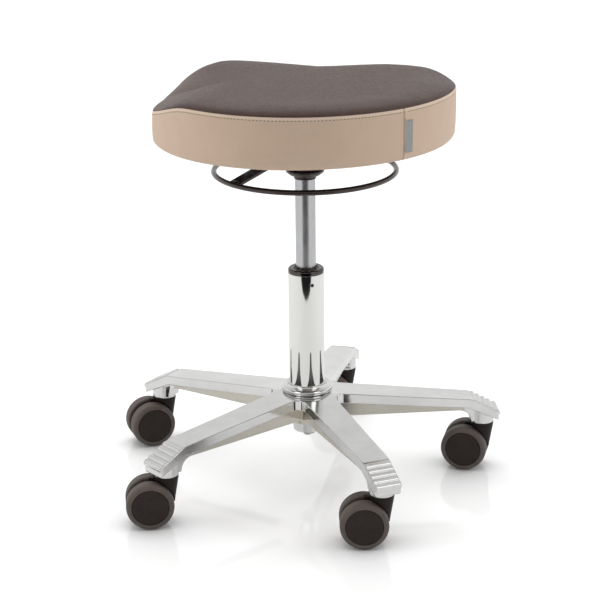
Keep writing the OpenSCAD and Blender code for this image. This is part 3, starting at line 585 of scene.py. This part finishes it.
def grid_faces(rows, columns, wrap_rows=False):
    """Quads between rows of points, each row closed on itself."""
    faces = []
    for r in range(rows if wrap_rows else rows - 1):
        a, b = r * columns, ((r + 1) % rows) * columns
        for c in range(columns):
            d = (c + 1) % columns
            faces.append((a + c, b + c, b + d, a + d))
    return faces


def capped_faces(rows, columns):
    """Quads between rows of points, with the first and last row closed to the two points after them."""
    tip, last = rows * columns, (rows - 1) * columns
    faces = grid_faces(rows, columns)
    faces += [(tip, c, (c + 1) % columns) for c in range(columns)]
    faces += [(tip + 1, last + (c + 1) % columns, last + c) for c in range(columns)]
    return faces


def tree_of(points):
    tree = KDTree(len(points))
    for i, point in enumerate(points):
        tree.insert(point, i)
    tree.balance()
    return tree


def set_painted_sheen(obj, values):
    """Gives each point how much painted highlight, a lighter colour standing in for sheen, its material lays on there.
    """
    obj.data.attributes.new("edge", "FLOAT", "POINT").data.foreach_set("value", values)


def dress(node, material, bevel=0.0, segments=2, angle=32.0):
    """Gives a CAD node its material and, by modifiers, a small rounding of edges sharper than angle degrees."""
    obj = NODES[node]
    obj.data.materials.clear()
    obj.data.materials.append(MATERIALS[material])
    obj.data.polygons.foreach_set("use_smooth", [True] * len(obj.data.polygons))
    weld = obj.modifiers.new("weld", "WELD")
    weld.merge_threshold = 1e-5
    flat = obj.modifiers.new("flat", "DECIMATE")
    flat.decimate_type = "DISSOLVE"
    flat.angle_limit = math.radians(0.6)
    if bevel:
        edge = obj.modifiers.new("edge", "BEVEL")
        edge.width = bevel * MM
        edge.segments = segments
        edge.limit_method = "ANGLE"
        edge.angle_limit = math.radians(angle)
        edge.use_clamp_overlap = True
    shade = obj.modifiers.new("shade", "WEIGHTED_NORMAL")
    shade.weight = 50


# ---------------------------------------------------------------- seat form


def outline(t, d=0.0):
    """Seam outline at angles t in degrees, moved outward by d millimetres."""
    a = np.radians(t)
    half_depth = np.where(np.mod(t, 360) < 180, SEAT_REAR, SEAT_FRONT)
    p = np.stack([SEAT_W / 2 * np.cos(a), half_depth * np.sin(a)], -1)
    off = np.abs(np.mod(t, 360) - 270) - INSET_AT
    inward = np.where(np.abs(off) < INSET_REACH, np.cos(np.pi / 2 * off / INSET_REACH) ** 2, 0) * INSET
    r = np.linalg.norm(p, axis=-1)
    return p * (1 + (d - inward) / r)[..., None]


def sitting_height(p):
    """Height of the sitting surface before its crown, at points p."""
    x, y = np.abs(p[..., 0]), p[..., 1]
    w = x * math.cos(THIGH_TURN) - y * math.sin(THIGH_TURN)
    v = x * math.sin(THIGH_TURN) + y * math.cos(THIGH_TURN)
    w = w - CREASE_AT - np.where(v > 0, CREASE_SPREAD[0], CREASE_SPREAD[1]) * np.abs(v)
    drop = math.tan(THIGH_SLOPE) * CREASE_SOFT * np.logaddexp(0, w / CREASE_SOFT)
    nose = NOSE_RISE * np.exp(-((p[..., 0] / NOSE_SPREAD[0]) ** 2) - ((y - NOSE_AT) / NOSE_SPREAD[1]) ** 2)
    off = (p[..., 0] - SLACK_AT[0]) ** 2 + (y - SLACK_AT[1]) ** 2
    return SEAM_Z + nose - drop - SLACK_DIP * np.exp(-off / SLACK_SPREAD ** 2)


def seat_angles():
    """Angles round the seat in degrees, closer together beside the rear seam."""
    coarse = np.arange(0, 360, 1.2)
    coarse = coarse[np.abs(coarse - 90) > 1.5]
    fine = 90 + np.linspace(-SEAM_FINE, SEAM_FINE, 29)
    return np.sort(np.concatenate([coarse, fine]))


def at_height(p, z):
    """Points in the plan p with the height z added."""
    return np.concatenate([p, np.broadcast_to(z, p.shape[:-1])[..., None]], -1)


def round_about(t, middle, reach):
    """1 at the middle angle, falling smoothly to 0 at reach degrees to each side."""
    off = np.abs(np.mod(t - middle + 180, 360) - 180)
    return np.where(off < reach, np.cos(np.pi / 2 * off / reach) ** 2, 0)


def crown(t, e):
    """Height of the crown at e millimetres inside the seam: a steep roll, fuller where the thighs slope down."""
    slack = round_about(t, *SLACK_SIDE)
    k = np.clip(1 - e / (SHOULDER_RUN + SLACK_RUN * slack), 0, 1)
    steep = np.clip(1 - (SEAM_Z - STEEP_FROM - sitting_height(outline(t))) / STEEP_RUN, 0, 1)
    steep = steep * (1 - round_about(t, *NOSE_SOFT)) * (1 - slack)
    full = sum(round_about(t, middle, THIGH_REACH) for middle in THIGH_SIDES)
    steep = np.maximum(steep, full)
    roll = np.sqrt(1 - k ** ROLL_POWER)
    rise = CROWN * (steep * roll + (1 - steep) * (1 - k ** 2))
    rise = rise + THIGH_FULL * full * roll * np.exp(-(e / THIGH_RUN) ** 2)
    return rise + REAR_FULL * round_about(t, *REAR_SIDE) * np.sqrt(1 - k ** 2) * np.exp(-(e / REAR_RUN) ** 2)


def top_rows(t):
    """Rows of the top cover from its middle out to the seam, round it, and back beneath."""
    rows = []
    p = outline(t)
    r = np.linalg.norm(p, axis=-1)
    inner = 1 - TOP_INNER / r
    for s in TOP_RINGS:
        q = p * (inner * s)[:, None]
        rows.append(at_height(q, sitting_height(q) + crown(t, r * (1 - inner * s))))
    for e in TOP_EDGE:
        q = outline(t, -e)
        rows.append(at_height(q, sitting_height(q) + crown(t, e)))
    edge = sitting_height(p)
    for e, z in TOP_FOLD:
        rows.append(at_height(outline(t, -e), edge + z))
    for s in TOP_BACK:
        q = p * s
        rows.append(at_height(q, sitting_height(q) - TOP_DEPTH))
    return rows


def border_rows(t):
    """Rows of the border from its lip down, round under the seat to the hem, and back up inside."""
    edge = sitting_height(outline(t))
    rows = [at_height(outline(t, d), edge + z) for d, z in BORDER_LIP]
    top, low = edge - LIP_DEPTH, SEAT_Z + UNDER_RISE
    for k in BORDER_SIDE:
        bulge = BORDER_BULGE * math.sin(math.pi * k)
        rows.append(at_height(outline(t, BORDER_OUT + bulge), top + (low - top) * k))
    for a in np.radians(np.linspace(0, 90, BORDER_ROLL)):
        inward = UNDER_RUN * (1 - math.cos(a))
        rows.append(at_height(outline(t, BORDER_OUT - inward), SEAT_Z + UNDER_RISE * (1 - math.sin(a))))
    rows += [at_height(outline(t, d), SEAT_Z + z) for d, z in BORDER_HEM]
    rows += [at_height(outline(t, d), edge + z) for d, z in BORDER_BACK]
    return rows


def rear_seam(rows, first, last):
    """Pulls a narrow vertical groove into the border at the middle of its rear."""
    deep, half = SEAM_GROOVE
    lip, lip_at, lip_half = SEAM_LIPS
    for p in rows[first:last]:
        x = p[:, 0]
        pull = deep * np.exp(-((x / half) ** 2)) - lip * np.exp(-((np.abs(x) - lip_at) / lip_half) ** 2)
        p[:, 1] -= np.where(p[:, 1] > 0, pull, 0)


def swell_cushion():
    """Cloth simulation of the whole cushion under its filling: where its skin starts and how far it moves."""
    t = np.arange(0, 360, SWELL_STEP)
    rows = top_rows(t)[:TOP_SHOWN] + border_rows(t)[3:BORDER_SHOWN]
    points = np.concatenate([np.concatenate(rows), [[0, 0, SEAM_Z + CROWN]], [[0, 0, SEAT_Z]]]) * MM
    skin = add_mesh("cushion_skin", points, capped_faces(len(rows), len(t)), "dark_leatherette")
    remesh = skin.modifiers.new("remesh", "REMESH")
    remesh.mode = "VOXEL"
    remesh.voxel_size = SWELL_VOXEL
    graph = bpy.context.evaluated_depsgraph_get()
    mesh = bpy.data.meshes.new_from_object(skin.evaluated_get(graph))
    old = skin.data
    skin.modifiers.clear()
    skin.data = mesh
    bpy.data.meshes.remove(old)
    start = np.empty(len(mesh.vertices) * 3)
    mesh.vertices.foreach_get("co", start)
    start = start.reshape(-1, 3)
    seam_t = np.arange(0, 360, 0.5)
    seam = at_height(outline(seam_t), sitting_height(outline(seam_t))) * MM
    near_seam = tree_of(seam)
    low = (SEAT_Z + UNDER_RISE) * MM
    held = [i for i, point in enumerate(start) if point[2] < low or near_seam.find(point)[2] < SWELL_HELD]
    skin.vertex_groups.new(name="held").add(held, 1.0, "REPLACE")
    cloth = skin.modifiers.new("cloth", "CLOTH")
    cloth.settings.vertex_group_mass = "held"
    cloth.settings.use_pressure = True
    cloth.settings.uniform_pressure_force = SWELL_PRESSURE
    cloth.settings.tension_stiffness = SWELL_STIFF
    cloth.settings.compression_stiffness = SWELL_STIFF
    cloth.settings.shear_stiffness = SWELL_SHEAR
    cloth.settings.bending_stiffness = SWELL_BEND
    cloth.settings.effector_weights.gravity = 0.0
    cloth.point_cache.frame_start = 1
    cloth.point_cache.frame_end = SWELL_FRAMES
    for f in range(1, SWELL_FRAMES + 1):
        bpy.context.scene.frame_set(f)
    graph = bpy.context.evaluated_depsgraph_get()
    end = np.empty(len(start) * 3)
    skin.evaluated_get(graph).data.vertices.foreach_get("co", end)
    move = end.reshape(-1, 3) - start
    bpy.context.scene.frame_set(1)
    bpy.data.objects.remove(skin)
    bpy.data.meshes.remove(mesh)
    far = np.linalg.norm(move, axis=1)
    move *= (SWELL_CAP * MM / (SWELL_CAP * MM + far))[:, None]
    return start, move


def follow_swell(points, swell):
    """Moves a cover's points, in millimetres, with the nearest part of the simulated skin."""
    if swell is None:
        return points
    start, move = swell
    tree = tree_of(start)
    moved = points.copy()
    for i, point in enumerate(points * MM):
        near = tree.find_n(point, SWELL_NEAR)
        weight = np.array([1 / (d + SWELL_SOFT) ** 2 for _, _, d in near])
        shift = sum(w * move[k] for w, (_, k, _) in zip(weight, near)) / weight.sum()
        moved[i] += shift / MM
    return moved


def lean(obj):
    """The cushion sits a little lower on one side, as in the photograph."""
    about = Matrix.Translation((0, 0, SEAT_Z * MM))
    obj.data.transform(about @ Matrix.Rotation(LEAN, 4, TOWARDS_CAMERA) @ about.inverted())


def make_seat():
    """The two covers, sewn together at the seam, with the stitches, label and liner."""
    t = seat_angles()
    swell = swell_cushion()
    n = len(t)
    middle = float(sitting_height(np.zeros(2)))
    rows = top_rows(t)
    shown = follow_swell(np.concatenate(rows[:TOP_SHOWN] + [np.array([[0, 0, middle + CROWN]])]), swell)
    beneath = np.concatenate(rows[TOP_SHOWN:])
    points = np.concatenate([shown[:-1], beneath, shown[-1:], [[0, 0, middle - TOP_DEPTH]]]) * MM
    top = add_mesh("seat_top_pad", points, capped_faces(len(rows), n), "dark_leatherette")
    # Painted highlight on the thigh slope, stronger the further it falls below the seam
    sheen_from, sheen_run = THIGH_PAINTED_SHEEN
    set_painted_sheen(top, np.clip((SEAM_Z - sitting_height(points[:, :2] / MM) - sheen_from) / sheen_run, 0, 1))
    lean(top)
    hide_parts("seat_top_cover", "seat_foam")
    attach(top, "seat")

    rows = border_rows(t)
    shown = follow_swell(np.concatenate(rows[:BORDER_SHOWN]), swell).reshape(BORDER_SHOWN, n, 3)
    rows[:BORDER_SHOWN] = list(shown)
    rear_seam(rows, 1, BORDER_SHOWN)
    side = add_mesh("seat_border", np.concatenate(rows) * MM, grid_faces(len(rows), n, True), "beige_leatherette")
    # Painted highlight along the rolled lip of the border
    set_painted_sheen(side, np.repeat([LIP_PAINTED_SHEEN if r < LIP_ROWS else 0.0 for r in range(len(rows))], n))
    lean(side)
    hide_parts("seat_side_cover")
    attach(side, "seat")
    make_stitches(swell)
    make_label()
    make_liner()


def capsule(length, radius, rise, sides=6):
    """Points and faces of a thread stitch along X, its ends drawn down into the cover."""
    points, faces = [], []
    for x, r, dip in THREAD_ROWS:
        for k in range(sides):
            a = 2 * math.pi * k / sides
            points.append((x * length, radius * r * math.cos(a), radius * rise * (r * math.sin(a) + dip)))
    last = (len(THREAD_ROWS) - 1) * sides
    for a in range(0, last, sides):
        for k in range(sides):
            j = (k + 1) % sides
            faces.append((a + k, a + j, a + sides + j, a + sides + k))
    faces.append(tuple(range(sides))[::-1])
    faces.append(tuple(range(last, last + sides)))
    return np.array(points), faces


def sew(name, line, out, pitch, length, radius, slant, material, start=0.5, rise=1.0):
    """Stitches along a line of points, each with the direction out of the cover."""
    step = np.linalg.norm(np.diff(line, axis=0), axis=1)
    arc = np.concatenate([[0], np.cumsum(step)])
    count = int(arc[-1] / pitch)
    shape, shape_faces = capsule(length, radius, rise)
    c, s = math.cos(slant), math.sin(slant)
    points, faces = [], []
    for i in range(count):
        here = (i + start) * arc[-1] / count
        k = min(int(np.searchsorted(arc, here, "right")) - 1, len(line) - 2)
        f = (here - arc[k]) / step[k]
        at = line[k] * (1 - f) + line[k + 1] * f
        along = (line[k + 1] - line[k]) / step[k]
        normal = out[k] * (1 - f) + out[k + 1] * f
        normal = normal - along * np.dot(normal, along)
        normal /= np.linalg.norm(normal)
        side = np.cross(normal, along)
        along, side = along * c + side * s, side * c - along * s
        base = len(points)
        points.extend(at + shape[:, :1] * along + shape[:, 1:2] * side + shape[:, 2:] * normal)
        faces.extend(tuple(base + v for v in face) for face in shape_faces)
    obj = add_mesh(name, np.array(points) * MM, faces, material)
    lean(obj)
    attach(obj, "seat")


def make_stitches(swell):
    """Topstitch below the seam and the stitches that hold the label, with dark capsules between, painted shade in the
    needle holes.
    """
    t = np.arange(0, 360.01, 0.5) + STITCH_FROM
    p = outline(t, STITCH_OUT)
    line = at_height(p, sitting_height(outline(t)) - STITCH_DROP)
    out = at_height(p / np.linalg.norm(p, axis=-1)[:, None], 0.0)
    sew("border_topstitch", line, out, STITCH_PITCH, *STITCH_THREAD, STITCH_SLANT, "beige_thread")
    # Dark capsules sunk at the stitch ends: painted shade in the needle holes
    sew("topstitch_hole_shade", line, out, STITCH_PITCH, *STITCH_HOLE_SHADE, STITCH_SLANT, "needle_hole", HOLE_START, 0.25)
    beside, proud = -1.6, 1.25
    z = np.linspace(SEAM_Z - 15.0, SEAT_Z + 11.0, 60)
    line = at_height(np.tile([beside, SEAT_REAR + proud], (len(z), 1)), z)
    line = follow_swell(line, swell)
    out = np.tile([0.0, 1.0, 0.0], (len(z), 1))
    sew("label_stitches", line, out, LABEL_PITCH, *LABEL_THREAD, 0.0, "beige_thread")
    sew("label_hole_shade", line, out, LABEL_PITCH, *LABEL_HOLE_SHADE, 0.0, "needle_hole", HOLE_START, 0.4)


def make_label():
    """Blank cloth tab sewn into the rear seam, lifting a little at its free edge."""
    wide, tall, thick, from_seam = 11.4, 42.0, 0.7, 2.9
    foot, stand_off, curl, ripple = SEAM_Z - 58.5, 1.35, 0.9, 0.25
    xs, zs = np.linspace(0, 1, 13), np.linspace(0, 1, 15)
    points = []
    for side in (0, 1):
        for x in xs:
            for z in zs:
                lift = 0.25 + curl * x ** 2 + ripple * math.sin(3.1 * z + 0.4) * x
                edge = min(1.0, 6 * min(1 - x, z + 0.08, 1.08 - z))
                y = SEAT_REAR + stand_off + lift + (thick * (0.5 + 0.5 * edge) if side else 0)
                y -= (wide * x + from_seam) ** 2 / SEAT_W
                points.append((-from_seam - wide * x, y, foot + tall * z))
    rows, columns = len(xs), len(zs)
    faces = []
    for i in range(rows - 1):
        for j in range(columns - 1):
            a = i * columns + j
            b = a + rows * columns
            faces.append((a, a + 1, a + columns + 1, a + columns))
            faces.append((b, b + columns, b + columns + 1, b + 1))
    ring = list(range(columns))
    ring += [i * columns + columns - 1 for i in range(1, rows)]
    ring += [(rows - 1) * columns + j for j in range(columns - 2, -1, -1)]
    ring += [i * columns for i in range(rows - 2, 0, -1)]
    for a, b in zip(ring, ring[1:] + ring[:1]):
        faces.append((a, b, b + rows * columns, a + rows * columns))
    label = add_mesh("seam_label", np.array(points) * MM, faces, "label_cloth")
    lean(label)
    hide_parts("seat_label")
    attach(label, "seat")


def make_liner():
    """Black cloth under the seat, drawn tight between its staples."""
    face, back, sag, staples = SEAT_Z + 0.85, SEAT_Z + 1.7, 0.25, 14
    t = np.arange(0, 360, 2.0)
    rows = []
    for s in (0.12, 0.3, 0.5, 0.68, 0.82, 0.92, 0.975, 1.0):
        wave = sag * np.sin(np.radians(t) * staples) * max(0, s - 0.6)
        rows.append(at_height(outline(t, -HEM_IN + 2.5) * s, face + wave))
    rows.append(at_height(outline(t, -HEM_IN + 3.0), SEAT_Z + 1.5))
    rows.append(at_height(outline(t, -HEM_IN) * 0.3, back))
    points = np.concatenate([np.concatenate(rows), [[0, 0, face]], [[0, 0, back]]]) * MM
    faces = [f[::-1] for f in capped_faces(len(rows), len(t))]
    liner = add_mesh("seat_liner", points, faces, "liner_cloth")
    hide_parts("bottom_liner")
    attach(liner, "seat")


# ---------------------------------------------------------------- hard parts


def dress_nodes():
    """Materials of the CAD nodes, with the millimetres and steps that their edges are rounded by."""
    dress("base_casting", "cast_aluminium", 0.8, 3, 24.0)
    dress("column_tube", "column_chrome", 0.4)
    dress("column_collar", "black_chrome", 0.6, 3)
    dress("bush_screw", "black_chrome", 0.3)
    dress("pressure_tube", "tube_steel", 0.5)
    dress("taper_socket", "black_powder", 0.6, 3)
    dress("lever_bracket", "black_powder", 0.7, 3)
    dress("seat_plate", "black_powder", 0.6)
    dress("ring_lever", "black_gloss", 0.6, 3)
    dress("release_ring", "black_gloss")
    dress("guide_bush", "acetal")
    dress("seat_pan", "plywood", 0.6)
    dress("rod_guide", "rubber")
    dress("bump_stop", "rubber", 0.6)
    for node in ("lower_bearing_race", "piston_rod", "piston", "rod_clip", "bearing_balls", "upper_bearing_race",
                 "lever_pin", "plate_bolts", "tee_nuts", "valve_pin"):
        dress(node, "bright_steel", 0.0 if node == "bearing_balls" else 0.35)
    for k in range(1, 6):
        dress(f"caster_{k}_hood", "hood_plastic", 0.9, 3)
        dress(f"caster_{k}_pins", "bright_steel", 0.5)
        for side in ("left", "right"):
            dress(f"caster_{k}_{side}_core", "disc_plastic", 0.5)
            dress(f"caster_{k}_{side}_tyre", "grey_tyre", 0.5)


def make_wiper():
    """Crimped ring that wipes the gas tube where it leaves the collar."""
    turns, around, crimps = 168, 12, 14
    middle_r, middle_z, half_wide, half_tall, crimp_rise = 16.6, 309.6, 1.7, 1.5, 0.7
    t = np.linspace(0, 2 * np.pi, turns, endpoint=False)
    crimp = 0.5 + 0.5 * np.cos(crimps * t)
    rows = []
    for k in range(around):
        a = 2 * math.pi * k / around
        r = middle_r + half_wide * math.cos(a)
        z = middle_z + (half_tall + crimp_rise * crimp * max(0.0, math.sin(a))) * math.sin(a)
        rows.append(np.stack([r * np.cos(t), r * np.sin(t), z], -1))
    faces = [f[::-1] for f in grid_faces(around, turns, True)]
    ring = add_mesh("tube_wiper", np.concatenate(rows) * MM, faces, "black_chrome")
    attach(ring, "base")


def make_skirt():
    """Stepped skirt round the cone of the taper socket, from its radii and heights."""
    turns = 96
    outside = ((17.8, 441.7), (21.0, 442.2), (22.0, 443.0), (22.3, 444.8), (25.0, 445.4), (26.2, 446.3),
               (26.5, 451.0))
    inside = ((25.4, 451.0), (21.5, 446.9), (18.4, 443.7), (17.6, 442.5))
    t = np.linspace(0, 2 * np.pi, turns, endpoint=False)
    rows = [np.stack([r * np.cos(t), r * np.sin(t), np.full(turns, z)], -1) for r, z in outside + inside]
    faces = [f[::-1] for f in grid_faces(len(rows), turns, True)]
    skirt = add_mesh("socket_skirt", np.concatenate(rows) * MM, faces, "black_gloss")
    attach(skirt, "seat")


def make_welds():
    """Weld beads where the lever bar meets the ring."""
    points, faces = [], []
    across, around = 18, 14
    wide, half, tall = WELD_SIZE
    for side in (1, -1):
        base = len(points)
        for i in range(across + 1):
            u = -1 + 2 * i / across
            girth = math.sqrt(max(0.0, 1 - u * u)) * (1 + WELD_RIPPLE * math.sin(9 * u))
            for k in range(around):
                a = 2 * math.pi * k / around
                x = side * (RING_R - WELD_IN) + wide * girth * math.cos(a)
                points.append((x, half * u, RING_Z + WELD_UP + tall * girth * math.sin(a)))
        for i in range(across):
            for k in range(around):
                j = (k + 1) % around
                a, b = base + i * around, base + (i + 1) * around
                faces.append((a + k, a + j, b + j, b + k))
    weld = add_mesh("ring_welds", np.array(points) * MM, faces, "black_gloss")
    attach(weld, "release")


# ---------------------------------------------------------------- studio


def make_floor():
    """Pale floor that ends a little way in front of the stool, and is white to the camera except near things, where an
    occlusion mask fades its glow: a painted contact shadow.
    """
    m = Shader("pale_floor").set(Roughness=0.07, Specular_IOR_Level=0.8, Base_Color=(0.86, 0.86, 0.86, 1.0))
    rays = m.node("ShaderNodeLightPath")
    glow = m.node("ShaderNodeEmission")
    glow.inputs["Color"].default_value = (1, 1, 1, 1)
    away = m.node("ShaderNodeVectorMath", operation="LENGTH")
    m.link(m.place(), away.inputs[0])
    lift = m.span(away.outputs["Value"], *FLOOR_LIFT_FROM, *FLOOR_LIFT, True)
    # Painted contact shadow: the camera-only glow is faded where things are near
    near = m.node("ShaderNodeAmbientOcclusion", samples=12)
    near.inputs["Distance"].default_value = SHADE_REACH
    lift = m.math("MULTIPLY", lift, m.span(near.outputs["AO"], *SHADE_SPAN))
    m.link(m.math("MULTIPLY", rays.outputs["Is Camera Ray"], lift), glow.inputs["Strength"])
    add = m.node("ShaderNodeAddShader")
    m.link(m.bsdf.outputs[0], add.inputs[0])
    m.link(glow.outputs[0], add.inputs[1])
    m.surface(add)
    MATERIALS["pale_floor"] = m.material
    ends = ((FLOOR_FRONT, 1), (FLOOR_BACK, 1), (FLOOR_BACK, -1), (FLOOR_FRONT, -1))
    corners = [TOWARDS_CAMERA * along + CAMERA_RIGHT * (FLOOR_HALF * side) for along, side in ends]
    floor = add_mesh("floor", [(c.x, c.y, FLOOR_Z) for c in corners], [(0, 1, 2, 3)], "pale_floor", False)


def make_world():
    """White to the camera, plain light on the object, and a room in front of the stool for the metal to mirror.

    The room is dark low down and dim above, with a bright panel overhead and a window on each side. Light that has
    met two glossy surfaces also sees a dark low band, which puts the dark spikes at the foot of the column.
    """
    world = bpy.data.worlds.new("studio")
    bpy.context.scene.world = world
    world.use_nodes = True
    world.node_tree.nodes.clear()
    w = Tree(world.node_tree)

    def sheet(strength):
        made = w.node("ShaderNodeBackground")
        made.inputs["Color"].default_value = (1.0, 1.0, 1.0, 1.0)
        made.inputs["Strength"].default_value = strength
        return made

    def choose(share, a, b):
        made = w.node("ShaderNodeMixShader")
        w.link(share, made.inputs[0])
        w.link(a.outputs[0], made.inputs[1])
        w.link(b.outputs[0], made.inputs[2])
        return made

    rays = w.node("ShaderNodeLightPath")
    facing = w.node("ShaderNodeTexCoord").outputs["Generated"]
    level = w.node("ShaderNodeVectorMath", operation="MULTIPLY")
    w.link(facing, level.inputs[0])
    level.inputs[1].default_value = (1, 1, 0)
    unit = w.node("ShaderNodeVectorMath", operation="NORMALIZE")
    w.link(level.outputs[0], unit.inputs[0])
    parts = w.node("ShaderNodeSeparateXYZ")
    w.link(facing, parts.inputs[0])
    height = parts.outputs[2]

    def rise(low, high):
        return w.span(height, low, high, smooth=True)

    def within(inner, outer, aside=0.0):
        """Full within the inner angle of the camera's side, turned aside, and gone at the outer one."""
        dot = w.node("ShaderNodeVectorMath", operation="DOT_PRODUCT")
        w.link(unit.outputs[0], dot.inputs[0])
        dot.inputs[1].default_value = Matrix.Rotation(math.radians(aside), 3, "Z") @ TOWARDS_CAMERA
        limits = math.cos(math.radians(outer)), math.cos(math.radians(inner))
        return w.span(dot.outputs["Value"], *limits, smooth=True)

    def between(low, high, soft):
        return w.math("MULTIPLY", rise(low - soft, low), rise(high + soft, high))

    def window(aside):
        return w.math("MULTIPLY", within(*WINDOW_ANGLES, aside), between(*WINDOW_HEIGHTS))

    room = w.math("MULTIPLY", within(*ROOM_ANGLES), rise(*ROOM_HEIGHTS))
    ceiling = w.math("MULTIPLY", within(*CEILING_ANGLES), between(*CEILING_HEIGHTS))
    twice = w.span(rays.outputs["Glossy Depth"], *SECOND_BOUNCE, smooth=True)
    depths = w.math("MULTIPLY", twice, w.math("MULTIPLY", within(*DEPTHS_ANGLES), between(*DEPTHS_HEIGHTS)))
    mirrored = w.mix(rise(*WALL_HEIGHTS), (0.86, 0.86, 0.86), (0.60, 0.60, 0.60))
    shades = (
        (room, (0.012, 0.011, 0.011)),
        (ceiling, (0.16, 0.157, 0.152)),
        (rise(*PANEL_HEIGHTS), (1.4, 1.4, 1.4)),
        (window(-WINDOW_ASIDE), (1.5, 1.5, 1.5)),
        (window(WINDOW_ASIDE), (1.5, 1.5, 1.5)),
        (depths, (0.04, 0.038, 0.04)),
    )
    for share, colour in shades:
        mirrored = w.mix(share, mirrored, colour)

    gloss = sheet(1.0)
    w.link(mirrored, gloss.inputs["Color"])
    shiny = w.math("ADD", rays.outputs["Is Glossy Ray"], rays.outputs["Is Transmission Ray"], True)
    lit = choose(shiny, sheet(AMBIENT), gloss)
    seen = choose(rays.outputs["Is Camera Ray"], lit, sheet(1.0))
    w.link(seen.outputs[0], w.node("ShaderNodeOutputWorld").inputs["Surface"])


def softbox(name, at, aim, size, radiance):
    """Soft lamp that lights the object but isn't mirrored in its metal, which shows the walls instead."""
    data = bpy.data.lights.new(name, "AREA")
    data.shape = "SQUARE"
    data.size = size
    data.energy = radiance * math.pi * size * size
    lamp = bpy.data.objects.new(name, data)
    bpy.context.scene.collection.objects.link(lamp)
    lamp.location = at
    lamp.visible_glossy = False
    lamp.rotation_euler = (Vector(aim) - Vector(at)).to_track_quat("-Z", "Y").to_euler()


def make_lights():
    """A lamp on each side, the left one a little nearer the camera, and one overhead at the back."""
    for name, side in (("left_box", -1), ("right_box", 1)):
        at = (CAMERA_RIGHT * SIDE_BOX_OUT - TOWARDS_CAMERA * SIDE_BOX_BACK) * side
        softbox(name, (at.x, at.y, SIDE_BOX_Z), aim=(0, 0, 0.35), size=1.68, radiance=1.2)
    at = TOWARDS_CAMERA * -TOP_BOX_BACK - CAMERA_RIGHT * TOP_BOX_LEFT
    softbox("top_box", (at.x, at.y, TOP_BOX_Z), aim=(0, 0, 0.4), size=2.2, radiance=1.25)


make_camera()
dress_nodes()
make_wiper()
make_skirt()
make_welds()
make_seat()
make_floor()
make_world()
make_lights()
bpy.context.scene.view_settings.view_transform = "Standard"
